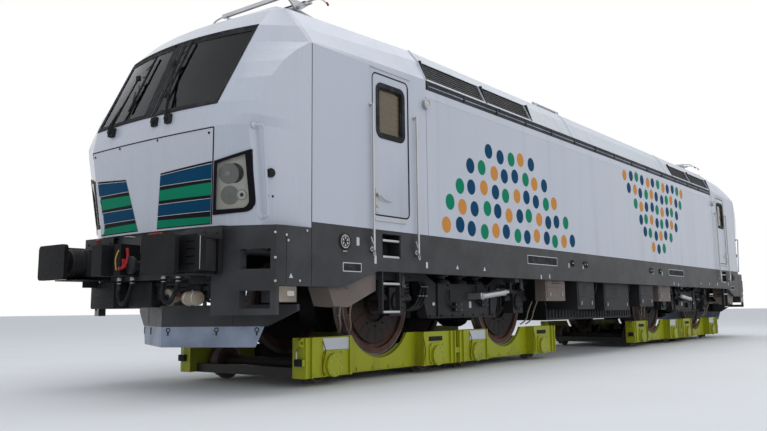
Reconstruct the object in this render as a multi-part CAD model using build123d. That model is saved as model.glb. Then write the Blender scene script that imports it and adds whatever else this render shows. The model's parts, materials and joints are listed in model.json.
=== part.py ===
from build123d import *
import os

# An electric locomotive with a cab at each end, standing on four one-axle transport dollies.
# Millimetres. +X points out of the front cab, +Y to the left side, +Z up.
# Heights are above the locomotive's own rail head, and save() lifts everything by ride_height,
# which puts the floor under the dolly wheels' flanges at zero.

# Main sizes
length_over_buffers = 18980
body_width = 3012
bogie_centres = 9500
bogie_wheelbase = 3000
wheel_diameter = 1250
sill_height = 1405
gutter_height = 3250
roof_height = 3765
nose_bottom = 1345
nose_waist = 2300
screen_foot = 2540
band_inset = 16
skirt_height = 950

# Body shell
nose_depth = 766
cab_length = 2034
buffer_length = 590
wall = 60
deck_thickness = 100
cab_floor_rise = 150
front_skirt_height = 770

# Doors and windows
seam_to_door = 969
door_width = 695
door_bottom = 1555
door_gap = 5
door_pin_radius = 12
door_pin_depth = 25
pane_thickness = 12
glass_inset = 8
screen_border = 5
post_width = 90

# Bogies
side_beam_y = 1050
side_beam_width = 140
side_beam_top = 1010
side_beam_depth = 130
spring_seat = 860
frame_dip_bottom = 420
pivot_radius = 150
fit = 0.3
move_gap = 5
back_to_back = 1360
rim_width = 135
flange_height = 28
axle_radius = 95
journal_radius = 65
journal_end_y = 1110

# Dollies
dolly_length = 2920
dolly_wheel_spacing = 2020
dolly_wheel_radius = 190
dolly_lift = 240
dolly_gauge_back = 1360
dolly_web_y = 880
dolly_web_thickness = 40
dolly_box_y = 1000
dolly_box_length = 740
dolly_bottom = -170
dolly_top = 250

# Pantographs
seam_to_pan = 1084
pan_base_rise = 285
lower_arm = 1700
upper_arm = 2000

# Worked out from the sizes above
half_length = length_over_buffers / 2
half_width = body_width / 2
beam_x = half_length - buffer_length
cab_seam_x = beam_x - nose_depth
cab_back_x = cab_seam_x - cab_length
door_start_x = cab_seam_x - seam_to_door - door_width
door_end_x = door_start_x + door_width
door_top = gutter_height - 63
wall_bend_height = gutter_height - 145
band_bottom = gutter_height - 43
roof_rise = roof_height - gutter_height
band_top = gutter_height + 0.136 * roof_rise
screen_top = gutter_height + 190
wheel_radius = wheel_diameter / 2
ride_height = dolly_lift + flange_height
half_wheelbase = bogie_wheelbase / 2
bogie_x = bogie_centres / 2
deck_bottom = sill_height - deck_thickness
dolly_axle_height = dolly_wheel_radius - dolly_lift
dolly_journal_end = dolly_box_y - 30
door_axis_x = door_start_x + door_gap + wall / 2
door_axis_y = half_width - wall / 2
saved = []


def save(name, *solids):
    """Lifts one piece to the floor frame and writes it as one file."""
    shapes = []
    for solid in solids:
        shapes += list(solid.solids())
    piece = Pos(0, 0, ride_height) * Compound(children=shapes)
    export_step(piece, f"parts/{name}.step")
    saved.append(name)


def block(x0, x1, y0, y1, z0, z1):
    """A box between two corners."""
    return Pos((x0 + x1) / 2, (y0 + y1) / 2, (z0 + z1) / 2) * Box(x1 - x0, y1 - y0, z1 - z0)


def prism_x(outline, x0, x1):
    """An outline of (y, z) pushed from x0 to x1."""
    face = make_face(Polyline(*[(x0, y, z) for y, z in outline], close=True))
    return extrude(face, amount=x1 - x0, dir=(1, 0, 0))


def prism_y(outline, y0, y1):
    """An outline of (x, z) pushed from y0 to y1."""
    face = make_face(Polyline(*[(x, y0, z) for x, z in outline], close=True))
    return extrude(face, amount=y1 - y0, dir=(0, 1, 0))


def prism_z(outline, z0, z1):
    """An outline of (x, y) pushed from z0 to z1."""
    face = make_face(Polyline(*[(x, y, z0) for x, y in outline], close=True))
    return extrude(face, amount=z1 - z0, dir=(0, 0, 1))


def rod_x(radius, x0, x1, y, z):
    return Pos((x0 + x1) / 2, y, z) * Rot(0, 90, 0) * Cylinder(radius, abs(x1 - x0))


def rod_y(radius, y0, y1, x, z):
    return Pos(x, (y0 + y1) / 2, z) * Rot(90, 0, 0) * Cylinder(radius, abs(y1 - y0))


def rod_z(radius, z0, z1, x, y):
    return Pos(x, y, (z0 + z1) / 2) * Cylinder(radius, abs(z1 - z0))


def strut(radius, start, end):
    """A round bar from one point to another."""
    line = Line(start, end)
    return sweep(Plane(origin=start, z_dir=line % 0) * Circle(radius), path=line)


def flip_y(solid):
    return mirror(solid, about=Plane.XZ)


def flip_x(solid):
    return mirror(solid, about=Plane.YZ)


def at_both_sides(solid):
    return [solid, flip_y(solid)]


def at_both_ends(solid):
    return [solid, flip_x(solid)]


def at_four_corners(solid):
    return at_both_ends(solid) + at_both_ends(flip_y(solid))


def roof_z(share):
    """A height on the roof, as a share of its rise over the gutter."""
    return gutter_height + share * roof_rise


def screen_z(share):
    """A height beside the windscreen, as a share of the way from its foot to the gutter."""
    return screen_foot + share * (gutter_height - screen_foot)


# The nose, as half sections from its lower edge up to the roof's ridge, with x as shares of the nose's depth
# Columns: height, middle x, x and y beside the windscreen, x and y of the crease, y at the seam
nose_sections = (
    (nose_bottom, 1.080, 1.004, 914, 0.706, 1330, half_width),
    (nose_waist, 1.170, 1.117, 1020, 0.919, 1340, half_width),
    (nose_waist + 100, 1.157, 1.091, 1019, 0.913, 1362, half_width),
    (screen_foot, 1.138, 1.055, 1018, 0.828, 1388, half_width),
    (screen_z(0.366), 0.992, 0.877, 1034, 0.649, 1432, half_width),
    (screen_z(0.634), 0.885, 0.747, 1046, 0.465, 1458, half_width),
    (screen_z(0.845), 0.801, 0.645, 1055, 0.243, 1481, half_width),
    (gutter_height, 0.739, 0.569, 1062, 0.030, 1501, half_width),
    (roof_z(0.385), 0.624, 0.432, 1074, 0.073, 1352, 1374),
    (roof_z(0.862), 0.295, 0.138, 1000, 0.040, 1145, 1165),
    (roof_height, 0.086, 0.047, 900, 0.021, 990, 1000),
)
# Half cross sections of the roof, columns y and height, from the gutter to the ridge
nose_roof = ((half_width, gutter_height), (1490, roof_z(0.058)), (1374, roof_z(0.385)),
             (1165, roof_z(0.862)), (1000, roof_height))
room_roof = ((half_width, gutter_height), (half_width, band_top), (1385, roof_z(0.641)),
             (1262, roof_z(0.951)), (1080, roof_height))


def nose_face(row, inset):
    """One level section of the nose, shrunk by a wall's thickness."""
    z, x_mid, x_post, y_post, x_crease, y_crease, y_seam = row
    if z in (nose_bottom, roof_height):
        z -= inset
    back = cab_seam_x
    post = (max(back + x_post * nose_depth - inset, back + 12), y_post - 0.6 * inset)
    crease = (max(back + x_crease * nose_depth - 0.8 * inset, back + 6), y_crease - 0.6 * inset)
    seam_y = y_seam - inset
    middle = (max(back + x_mid * nose_depth - inset, back + 20), 0, z)
    bow = ThreePointArc((post[0], -post[1], z), middle, (post[0], post[1], z))
    left = Polyline((post[0], post[1], z), (crease[0], crease[1], z), (back, seam_y, z))
    right = Polyline((back, -seam_y, z), (crease[0], -crease[1], z), (post[0], -post[1], z))
    close = Line((back, seam_y, z), (back, -seam_y, z))
    return make_face([bow, left, close, right])


def nose_block(inset=0):
    """The solid of the nose, shrunk all round by inset, from its seam forward."""
    faces = [nose_face(row, inset) for row in nose_sections]
    blocks = [loft([low, high], ruled=True) for low, high in zip(faces, faces[1:])]
    solid = blocks[0]
    for piece in blocks[1:]:
        solid = solid + piece
    return solid


def screen_prism(edge=0):
    """The windscreen's outline pushed along x, with its edge drawn in."""
    low, high = screen_foot + screen_border + edge, screen_top - edge
    half_low, half_high = 1000 - edge, 1050 - edge
    outline = ((-half_low, low), (half_low, low), (half_high, high), (-half_high, high))
    return prism_x(outline, cab_seam_x + 20, beam_x + 400)


# Outline of the left headlight unit, columns: y, height
lamp_outline = ((940, 1448), (1262, 1476), (1326, 1560), (1342, 2058), (998, 1962))
# Bowls in one unit, columns: y, height, radius
lamp_bowls = ((1104, 1841, 98), (1095, 1635, 96), (1200, 1640, 45))
lamp_depth = 110


def headlight_prism(side):
    return prism_x([(side * y, z) for y, z in lamp_outline], cab_seam_x + 250, beam_x + 400)


def make_noses():
    """Both noses with the windscreen and headlight openings, and what fills them."""
    outer = nose_block()
    inner = nose_block(wall)
    keep_floor = block(cab_seam_x, beam_x + 400, -half_width, half_width, nose_bottom - 10, nose_bottom + wall)
    hollow = inner - keep_floor
    post = block(cab_seam_x, beam_x + 400, -post_width / 2, post_width / 2, nose_bottom, roof_height)
    shell = outer - hollow - (screen_prism() - post)
    shell = shell - headlight_prism(1) - headlight_prism(-1)
    save("noses", *at_both_ends(shell))

    skin = nose_block(glass_inset) - nose_block(glass_inset + pane_thickness)
    panes = list(((skin & screen_prism(fit)) - post).solids())
    sunk = nose_block(wall / 2)
    housings = []
    for side in (1, -1):
        panes += (skin & headlight_prism(side)).solids()
        unit = (sunk - Pos(-lamp_depth, 0, 0) * sunk) & headlight_prism(side)
        for y, z, radius in lamp_bowls:
            unit = unit - lamp_bowl(side * y, z, radius)
        housings += unit.solids()
    save("headlights", *[copy for unit in housings for copy in at_both_ends(unit)])
    save("glazing", *[copy for sheet in panes for copy in at_both_ends(sheet)])


def lamp_bowl(y, z, radius):
    """The hollow of one lamp, narrowing to its bulb, with its back wall left closed."""
    back = cab_seam_x + 0.95 * nose_depth - wall - lamp_depth
    return Pos(back + lamp_depth, y, z) * Rot(0, 90, 0) * Cone(0.4 * radius, radius, 1.6 * lamp_depth)


def door_outline(grow=0):
    x0, x1 = door_start_x - grow, door_end_x + grow
    return ((x0, door_bottom - grow), (x1, door_bottom - grow), (x1, door_top + grow), (x0, door_top + grow))


# Door windows, columns: start x, end x, bottom, top
door_window = (door_start_x + 90, door_end_x - 85, 2450, door_top - 117)


def window_prism(y0, y1, edge=0):
    """The door window's rounded outline pushed through the leaf."""
    x0, x1, z0, z1 = door_window
    prism = block(x0 + edge, x1 - edge, y0, y1, z0 + edge, z1 - edge)
    return fillet(prism.edges().filter_by(Axis.Y), 80 - edge)


def make_cab_walls():
    """Cab side walls with their door openings, and the bulkhead behind the cab."""
    side = block(cab_back_x, cab_seam_x, half_width - wall, half_width, sill_height, gutter_height)
    side = side - prism_y(door_outline(), half_width - wall - 1, half_width + 1)
    reach = door_gap + door_pin_depth
    side = side + rod_z(door_pin_radius, door_bottom - 5, door_bottom + reach, door_axis_x, door_axis_y)
    side = side + rod_z(door_pin_radius, door_top - reach, door_top + 5, door_axis_x, door_axis_y)
    bulkhead = block(cab_back_x, cab_back_x + wall, wall - half_width, half_width - wall,
                     sill_height + cab_floor_rise, gutter_height)
    cab = side + flip_y(side) + bulkhead
    save("cab_walls", *at_both_ends(cab))


def make_doors():
    """Four hinged cab doors, each with its window, handle and pane."""
    x1 = door_end_x - door_gap
    y0, y1 = half_width - wall, half_width
    z0, z1 = door_bottom + door_gap, door_top - door_gap
    leaf = block(door_axis_x, x1, y0, y1, z0, z1) + rod_z(wall / 2, z0, z1, door_axis_x, door_axis_y)
    leaf = leaf - window_prism(y0 - 1, y1 + 1)
    for low, high in ((z0 - 1, z0 + door_pin_depth + fit), (z1 - door_pin_depth - fit, z1 + 1)):
        leaf = leaf - rod_z(door_pin_radius + fit, low, high, door_axis_x, door_axis_y)
    handle_z = 2330
    handle = block(x1 - 150, x1 - 40, y1, y1 + 18, handle_z, handle_z + 30)
    leaf = leaf + handle
    middle = (y0 + y1) / 2
    pane = window_prism(middle - pane_thickness / 2, middle + pane_thickness / 2, fit)
    places = (("front_left", False, False), ("front_right", False, True),
              ("rear_left", True, False), ("rear_right", True, True))
    for place, rear, right in places:
        shapes = [leaf, pane]
        if right:
            shapes = [flip_y(shape) for shape in shapes]
        if rear:
            shapes = [flip_x(shape) for shape in shapes]
        save(f"door_{place}", shapes[0])
        save(f"door_pane_{place}", shapes[1])


def roof_profile(points, inset=0):
    """The roof's closed outline of (y, z), drawn in by inset, from its lowest point."""
    low = points[0][1]
    right = [(y - inset, z if z == low else max(z - 0.7 * inset, low + 8)) for y, z in points]
    left = [(-y, z) for y, z in reversed(right)]
    return right + left


def roof_face(points, x, inset=0):
    return make_face(Polyline(*[(x, y, z) for y, z in roof_profile(points, inset)], close=True))


def cab_roof():
    """A hollow cab roof that changes from the nose's section to the machine room's."""
    outer = loft([roof_face(room_roof, cab_back_x), roof_face(nose_roof, cab_seam_x)], ruled=True)
    inner = loft([roof_face(room_roof, cab_back_x, wall), roof_face(nose_roof, cab_seam_x, wall)], ruled=True)
    return outer - inner


# Louvre panels on each side of the roof, columns: start and end as lengths from the cab's back wall
louvre_places = ((2810, 1520), (1460, 40))
louvres = [(cab_back_x - start, cab_back_x - end) for start, end in louvre_places]
louvre_low = roof_z(0.184)
louvre_high = roof_z(0.66)
louvre_rows = 7
fin_proud = 45
seams = (1837, -2849)


def slope_y(z):
    """The machine room roof's half width at a height on its slopes."""
    for (y_low, z_low), (y_high, z_high) in zip(room_roof, room_roof[1:]):
        if z_low < z <= z_high:
            return y_low + (y_high - y_low) * (z - z_low) / (z_high - z_low)
    return room_roof[-1][0]


def louvre_cut(x0, x1):
    """The space that a louvre panel takes in the roof's left slope."""
    low, high = louvre_low, louvre_high
    return prism_x(((slope_y(low) - 2 * wall, low), (half_width + 50, low),
                    (half_width + 50, high), (slope_y(high) - 2 * wall, high)), x0, x1)


def louvre_panel(x0, x1):
    """One slatted panel, set back a little in its opening."""
    low, high = louvre_low + fit, louvre_high - fit
    y_low, y_high = slope_y(low), slope_y(high)
    panel = prism_x(((y_low - 15, low), (y_high - 15, high), (y_high - 45, high), (y_low - 45, low)),
                    x0 + fit, x1 - fit)
    pitch = (high - low) / louvre_rows
    for row in range(louvre_rows):
        z = low + (row + 0.3) * pitch
        panel = panel - block(x0 + 60, x1 - 60, 1200, half_width + 50, z, z + pitch * 0.4)
    return panel


def louvre_fin(x):
    """The dark plate that stands out of the roof at the end of a louvre panel."""
    low, high = louvre_low - 15, louvre_high
    outline = ((slope_y(low) - 5, low), (slope_y(low) + 6, low), (slope_y(high) + fin_proud, high),
               (slope_y(high) - 5, high))
    fin = prism_x(outline, x - 12, x + 12)
    return fin - prism_x(roof_profile(room_roof[1:]), x - 13, x + 13)


def make_roofs():
    """The two cab roofs and the three lift-off roofs of the machine room, with the louvres."""
    save("cab_roofs", *at_both_ends(cab_roof()))
    ring = room_roof[1:]
    whole = prism_x(roof_profile(ring), -cab_back_x, cab_back_x)
    whole = whole - prism_x(roof_profile(ring, wall), -cab_back_x, cab_back_x)
    grilles = []
    for x0, x1 in louvres:
        for cut in at_four_corners(louvre_cut(x0, x1)):
            whole = whole - cut
        grilles += at_four_corners(louvre_panel(x0, x1))
    rooms = []
    edges = (cab_back_x, seams[0], seams[1], -cab_back_x)
    for x1, x0 in zip(edges, edges[1:]):
        rooms.append(whole & block(x0 + fit, x1 - fit, -2000, 2000, band_top - 1, roof_height + 1))
    save("machine_roofs", *rooms)
    for x in (louvres[0][0] - 20, (louvres[0][1] + louvres[1][0]) / 2, louvres[1][1] + 20):
        grilles += at_four_corners(louvre_fin(x))
    band = block(-cab_back_x, cab_back_x, half_width - wall, half_width - band_inset, band_bottom, band_top)
    grilles += at_both_sides(band)
    save("roof_louvres", *grilles)


def make_side_walls():
    """The smooth side walls of the machine room."""
    inner = half_width - wall
    outline = ((inner, sill_height), (half_width, sill_height), (half_width, wall_bend_height),
               (half_width - band_inset, band_bottom), (inner, band_bottom))
    side = prism_x(outline, -cab_back_x, cab_back_x)
    save("side_walls", *at_both_sides(side))


# Steps below each cab door, as heights from the top
step_heights = (1303, 1122, 827, 520)
ladder_bottom = 495
# Side sill outline, columns x and height, from the middle to the front
sill_outline = ((0, sill_height), (cab_seam_x, sill_height), (cab_seam_x, front_skirt_height),
                (cab_seam_x - 494, front_skirt_height), (cab_seam_x - 1054, skirt_height), (0, skirt_height))
step_recess = (door_start_x + 190, door_start_x + 530)
step_inner_y = 1320


def make_underframe():
    """Side sills, deck, cab floors, bolsters and the pins that turn in the bogies."""
    sill = prism_y(sill_outline, half_width - 80, half_width)
    inner_y = half_width - 80
    body = block(-cab_seam_x, cab_seam_x, -inner_y, inner_y, deck_bottom, sill_height)
    for solid in at_four_corners(sill):
        body = body + solid
    recess = block(step_recess[0], step_recess[1], step_inner_y, half_width + 1, step_heights[1] - 25, sill_height - 40)
    for solid in at_four_corners(recess):
        body = body - solid
    floor = block(cab_back_x, cab_seam_x, wall - half_width, half_width - wall, sill_height,
                  sill_height + cab_floor_rise)
    pin = rod_z(pivot_radius, 660, deck_bottom, bogie_x, 0)
    bracket = block(bogie_x - 1080, bogie_x - 960, 1200, 1400, 900, deck_bottom)
    for solid in at_both_ends(floor) + at_both_ends(pin) + at_four_corners(bracket):
        body = body + solid
    save("underframe", body)


# The front module's plan, columns x and y, from the seam round to the middle
module_plan = ((cab_seam_x, half_width), (beam_x - 400, half_width), (beam_x - 310, 1480), (beam_x - 1, 915))
# Openings in each corner plate, columns: y start, y end, bottom, top
corner_openings = ((1165, 1430, 930, 1120), (1165, 1430, 560, 726))
module_bottom = 500
skirt_x = beam_x - 340
lamp_stand_x = skirt_x - 250


def module_ring(inset):
    outline = [(x - inset, y - 0.8 * inset) for x, y in module_plan]
    outline[0] = (cab_seam_x, half_width - inset)
    return outline + [(x, -y) for x, y in reversed(outline)]


def make_front_modules():
    """Front beam, corner plates and side skirts under each nose."""
    low = module_bottom
    ring = prism_z(module_ring(0), low, nose_bottom) - prism_z(module_ring(wall), low - 1, nose_bottom - wall)
    ring = ring - block(beam_x - 100, half_length, -920, 920, low - 1, 860)
    ring = ring - block(cab_seam_x - 1, skirt_x, -body_width, body_width, low - 1, front_skirt_height)
    for y0, y1, z0, z1 in corner_openings:
        for side in (1, -1):
            y_low, y_high = sorted((side * y0, side * y1))
            ring = ring - block(skirt_x, half_length, y_low, y_high, z0, z1)
    for box in at_both_sides(block(lamp_stand_x, skirt_x, 1250, 1480, 614, front_skirt_height)):
        ring = ring + box
    save("front_modules", *at_both_ends(ring))


# Plow
plow_half = 970
plow_wing_half = 1290
plow_apex_x = beam_x - 140
plow_sweep = 0.5
plow_top = 600
plow_joint = 385
plow_bottom = 180


def plow_sheet(half, z0, z1, thick):
    """A folded plate swept back from its middle."""
    front, end = plow_apex_x, plow_apex_x - plow_sweep * half
    outline = ((front, 0), (end, half), (end - thick, half), (front - thick, 0), (end - thick, -half), (end, -half))
    return prism_z(outline, z0, z1)


def corner_cut(y_low, z_low, y_high, z_high):
    """The space outside a slanted lower corner of the plow."""
    outline = ((y_low, z_low), (y_high, z_high), (y_high + 50, z_high), (y_high + 50, z_low - 1), (y_low, z_low - 1))
    return prism_x(outline, 0, half_length)


def make_plows():
    """The wide upper plate with its slanted ends, its brackets, and the blade bolted under it."""
    wing = plow_sheet(plow_wing_half, plow_joint, plow_top, 40)
    blade = plow_sheet(plow_half, plow_bottom, plow_joint, 30)
    for cut in at_both_sides(corner_cut(plow_half + 30, plow_joint, plow_wing_half + 1, plow_top - 60)):
        wing = wing - cut
    for cut in at_both_sides(corner_cut(plow_half - 80, plow_bottom, plow_half + 1, plow_joint)):
        blade = blade - cut
    for y in (650, -650):
        wing = wing + block(beam_x - 600, beam_x - 480, y - 40, y + 40, plow_joint + 15, nose_bottom - wall)
    save("plows", *at_both_ends(wing))
    save("plow_blades", *at_both_ends(blade))


# Buffers
buffer_y = 890
buffer_z = 1053
buffer_half_width = 248
buffer_half_height = 180
ribs_inner_y = buffer_y + 110
ribs_outer_y = 1310
rib_count = 4
rib_groove = 12


def climb_plate():
    """The ribbed plate beside a buffer, bent back at its outer edge, on the box that carries it."""
    front = half_length - 115
    y0, y1 = ribs_inner_y, ribs_outer_y
    z0, z1 = buffer_z - buffer_half_height + 15, buffer_z + buffer_half_height - 15
    plate = block(front - 20, front, y0, y1, z0, z1) + block(front - 90, front, y1 - 18, y1, z0, z1)
    plate = chamfer(plate.edges().filter_by(Axis.X).sort_by(Axis.Y)[-2:], 17)
    pitch = (z1 - z0) / (rib_count + 1)
    for row in range(1, rib_count + 1):
        z = z0 + row * pitch
        plate = plate - block(front - rib_groove, front + 1, y1 - 170, y1 - 45, z - rib_groove / 2, z + rib_groove / 2)
    return plate + block(beam_x - 100, front - 20, buffer_y, y0 + 20, z0, z1)


def make_buffers():
    y, z = buffer_y, buffer_z
    face = block(half_length - 45, half_length, y - buffer_half_width, y + buffer_half_width,
                 z - buffer_half_height, z + buffer_half_height)
    face = fillet(face.edges().filter_by(Axis.X), 45)
    plunger = rod_x(105, half_length - 300, half_length - 45, y, z)
    sleeve = rod_x(130, beam_x - 50, half_length - 220, y, z)
    foot = block(beam_x - 1, beam_x + 40, y - 180, y + 180, z - 170, z + 170)
    buffer = face + plunger + sleeve + foot + climb_plate()
    buffer = buffer - prism_z(module_ring(0), module_bottom, nose_bottom)
    save("buffers", *at_four_corners(buffer))


hose_x = beam_x + 40
hose_top = 900
hose_ys = (260, -260)
hose_span = 230
hose_radius = 22


def make_couplers():
    """A claw coupler with its shank at each end, and the cocks of the brake hoses beside it."""
    front = half_length
    coupler = block(beam_x - 60, front - 290, -90, 90, 960, 1120)
    for y in hose_ys:
        for end_y in (y, y + (hose_span if y > 0 else -hose_span)):
            coupler = coupler + block(beam_x - 20, hose_x + 30, end_y - 30, end_y + 30, hose_top, hose_top + 70)
    claw = ((front - 340, -170), (front - 190, -230), (front - 50, -230), (front - 50, -60), (front - 160, -40),
            (front - 160, 60), (front - 70, 130), (front - 90, 200), (front - 340, 150))
    coupler = coupler + prism_z(claw, 890, 1190) - prism_z(module_ring(0), module_bottom, nose_bottom)
    save("couplers", *at_both_ends(coupler))


def hose_path(y, side):
    """A hose that leaves its cock, hangs in a loop and ends at the next cock."""
    x, z = hose_x, hose_top
    end = y + side * hose_span
    points = ((x, y, z), (x, y, z - 60), (x + 25, y + side * 10, z - 160), (x + 35, y + side * 60, z - 260),
              (x + 35, y + side * 150, z - 280), (x + 25, end - side * 12, z - 170), (x, end, z - 60), (x, end, z))
    return points


def make_hoses():
    hoses = []
    for y in hose_ys:
        loop = FilletPolyline(*hose_path(y, 1 if y > 0 else -1), radius=40)
        tube = sweep(Plane(origin=loop @ 0, z_dir=loop % 0) * Circle(hose_radius), path=loop)
        hoses.append(tube)
    save("brake_hoses", *[copy for tube in hoses for copy in at_both_ends(tube)])


def make_ladders():
    """Steps in the sill's recess and the ladder that hangs under the sill."""
    x0, x1 = step_recess[0] + fit, step_recess[1] - fit
    y0, y1 = step_inner_y + 10, half_width - 6
    low, top = step_heights[1] - 25 + fit, sill_height - 40 - fit
    upper = block(x0, x0 + 12, y0, y1, low, top) + block(x1 - 12, x1, y0, y1, low, top)
    upper = upper + block(x0, x1, y0 - 10 + fit, y0, low, top)
    for z in step_heights[:2]:
        upper = upper + block(x0, x1, y0, y1, max(z - 25, low), z)
    lower = block(x0, x0 + 20, y1 - 60, y1, ladder_bottom, skirt_height)
    lower = lower + block(x1 - 20, x1, y1 - 60, y1, ladder_bottom, skirt_height)
    for z in step_heights[2:]:
        lower = lower + block(x0, x1, y0, y1, z - 25, z)
    save("cab_steps", *at_four_corners(upper), *at_four_corners(lower))


# Handrails, columns: x, low end, high end
rails = ((door_end_x + 25, 1170, 2800), (door_start_x - 110, 1170, 2800))
# Round fittings on the sides, columns: x, height, radius, how far it stands out
side_fittings = ((door_start_x - 340, door_top - 187, 60, 45), (cab_seam_x - 500, 1240, 70, 12))


def make_side_fittings():
    """Handrails at the cab doors, camera pods and sand filler caps."""
    bars = []
    stand = 40
    for x, low, high in rails:
        bar = rod_z(14, low, high, x, half_width + stand)
        for z in (low + 15, high - 15):
            bar = bar + rod_y(12, half_width, half_width + stand, x, z)
        bars += at_four_corners(bar)
    for x, z, radius, proud in side_fittings:
        bars += at_four_corners(rod_y(radius, half_width, half_width + proud, x, z))
    save("side_fittings", *bars)


def make_wipers():
    wipers = []
    for y, lean in ((620, 300), (-180, 300)):
        base = (beam_x + 112, y, 2500)
        tip = (beam_x - 110, y + lean, 3020)
        arm = strut(12, base, tip) + rod_x(35, beam_x + 40, beam_x + 120, y, 2500)
        wipers.append(arm)
    shells = nose_block()
    cleaned = [arm - shells for arm in wipers]
    save("wipers", *[copy for arm in cleaned for copy in at_both_ends(arm)])


# Boxes under the deck between the bogies, columns: start x, end x, inner y, outer y, bottom, top
floor_boxes = (
    (2220, 2890, 1250, 1426, 640, deck_bottom),
    (1080, 1760, 900, 1426, 505, deck_bottom),
    (-700, 480, 900, 1350, 480, deck_bottom),
    (-1810, -1060, 900, 1426, 540, deck_bottom),
    (-2860, -2140, 1250, 1426, 640, deck_bottom),
)


def make_floor_boxes():
    boxes = []
    for x0, x1, y0, y1, z0, z1 in floor_boxes:
        boxes += at_both_sides(block(x0, x1, y0, y1, z0, z1))
    start = max(step_recess[1] + 10, bogie_x + half_wheelbase + 770)
    end = min(start + 780, lamp_stand_x - 10)
    outline = ((end, 765), (end - 85, 580), (end - 310, 566), (start, 745), (start, deck_bottom), (end, deck_bottom))
    boxes += at_four_corners(prism_y(outline, 1150, half_width - 80))
    save("floor_boxes", *boxes)
    core = block(-2000, 1800, -880, 880, 330, deck_bottom)
    save("transformer", core)


def make_cab_interiors():
    """A desk across each cab and two seats."""
    floor = sill_height + cab_floor_rise
    start, end = cab_seam_x - 74, cab_seam_x + 0.55 * nose_depth
    desk = prism_y(((start, floor), (end, floor), (end, 2350), (start, 2250)), -1150, 1150)
    pieces = [desk]
    for y in (500, -500):
        x = cab_seam_x - 734
        seat = block(x, x + 450, y - 240, y + 240, floor + 350, floor + 470)
        seat = seat + block(x, x + 100, y - 240, y + 240, floor + 470, floor + 1150)
        seat = seat + block(x + 150, x + 300, y - 60, y + 60, floor, floor + 350)
        pieces.append(seat)
    save("cab_interiors", *[copy for piece in pieces for copy in at_both_ends(piece)])


def wheelset():
    """Axle, hubs and flanged wheels with a brake disc on each outer face."""
    back = back_to_back / 2
    outer = back + rim_width
    tread_start = back + 33
    rim_inner = wheel_radius - 80
    disc_outer, disc_inner = rim_inner - 55, 230
    hub = 160
    half = ((0, axle_radius), (back - 40, axle_radius), (back - 40, hub), (back + 35, hub),
            (back + 35, rim_inner), (back, rim_inner), (back, wheel_radius + flange_height - 12),
            (back + 12, wheel_radius + flange_height), (back + 22, wheel_radius + flange_height),
            (tread_start + 6, wheel_radius), (outer, wheel_radius), (outer, rim_inner),
            (back + 85, rim_inner), (back + 85, disc_outer), (outer - 12, disc_outer), (outer - 12, disc_inner),
            (back + 85, disc_inner), (back + 85, hub), (outer + 10, hub), (outer + 10, journal_radius),
            (journal_end_y, journal_radius))
    outline = [(radius, y) for y, radius in half] + [(radius, -y) for y, radius in reversed(half)]
    outline = [(0, journal_end_y)] + [(r, y) for r, y in reversed(outline[:len(half)])]
    outline += [(r, -y) for r, y in reversed(outline[1:-1])] + [(0, -journal_end_y)]
    face = make_face(Polyline(*[(r, y, 0) for r, y in outline], close=True))
    return revolve(face, axis=Axis.Y)


def dolly_axle():
    """Axle of a dolly with its two small flanged wheels."""
    back = dolly_gauge_back / 2
    outer = back + 115
    r = dolly_wheel_radius
    half = ((0, 60), (back, 60), (back, r + flange_height), (back + 24, r + flange_height), (back + 34, r),
            (outer, r), (outer, 60), (dolly_journal_end, 60))
    outline = [(0, dolly_journal_end)] + [(radius, y) for y, radius in reversed(half)]
    outline += [(radius, -y) for y, radius in half[1:]] + [(0, -dolly_journal_end)]
    face = make_face(Polyline(*[(radius, y, 0) for radius, y in outline], close=True))
    return revolve(face, axis=Axis.Y)


def make_wheels():
    pair = wheelset()
    small = dolly_axle()
    for bogie, side in (("front", 1), ("rear", -1)):
        for end, offset in (("a", half_wheelbase), ("b", -half_wheelbase)):
            x = side * bogie_x + offset
            save(f"wheelset_{bogie}_{end}", Pos(x, 0, wheel_radius) * pair)
            for n, shift in ((1, dolly_wheel_spacing / 2), (2, -dolly_wheel_spacing / 2)):
                save(f"dolly_axle_{bogie}_{end}{n}", Pos(x + shift, 0, dolly_axle_height) * small)


def bogie_frame():
    """Side beams with lowered middles, cross beam with the pivot bore, and the axle boxes."""
    y0, y1 = side_beam_y - side_beam_width / 2, side_beam_y + side_beam_width / 2
    top, low = side_beam_top, side_beam_top - side_beam_depth
    end = half_wheelbase + 400
    dip_top, dip_low = spring_seat, frame_dip_bottom
    half = ((0, dip_top), (650, dip_top), (950, top), (end, top), (end, low), (1000, low), (840, dip_low), (0, dip_low))
    outline = list(half) + [(-x, z) for x, z in reversed(half[1:-1])]
    beam = prism_y(outline, y0, y1)
    frame = beam + flip_y(beam)
    cross = block(-280, 280, -y0, y0, 660, 850)
    frame = frame + cross - rod_z(pivot_radius + fit, 600, 900, 0, 0)
    boxes = []
    for x in (half_wheelbase, -half_wheelbase):
        box = block(x - 150, x + 150, y0, y1 + 20, wheel_radius - 160, wheel_radius + 170)
        box = box + block(x - 330, x + 330, y0 + 10, y1 - 10, wheel_radius + 20, wheel_radius + 70)
        box = box - rod_y(journal_radius + fit, 0, journal_end_y + fit, x, wheel_radius)
        boxes += at_both_sides(box)
    return frame, boxes


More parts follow.
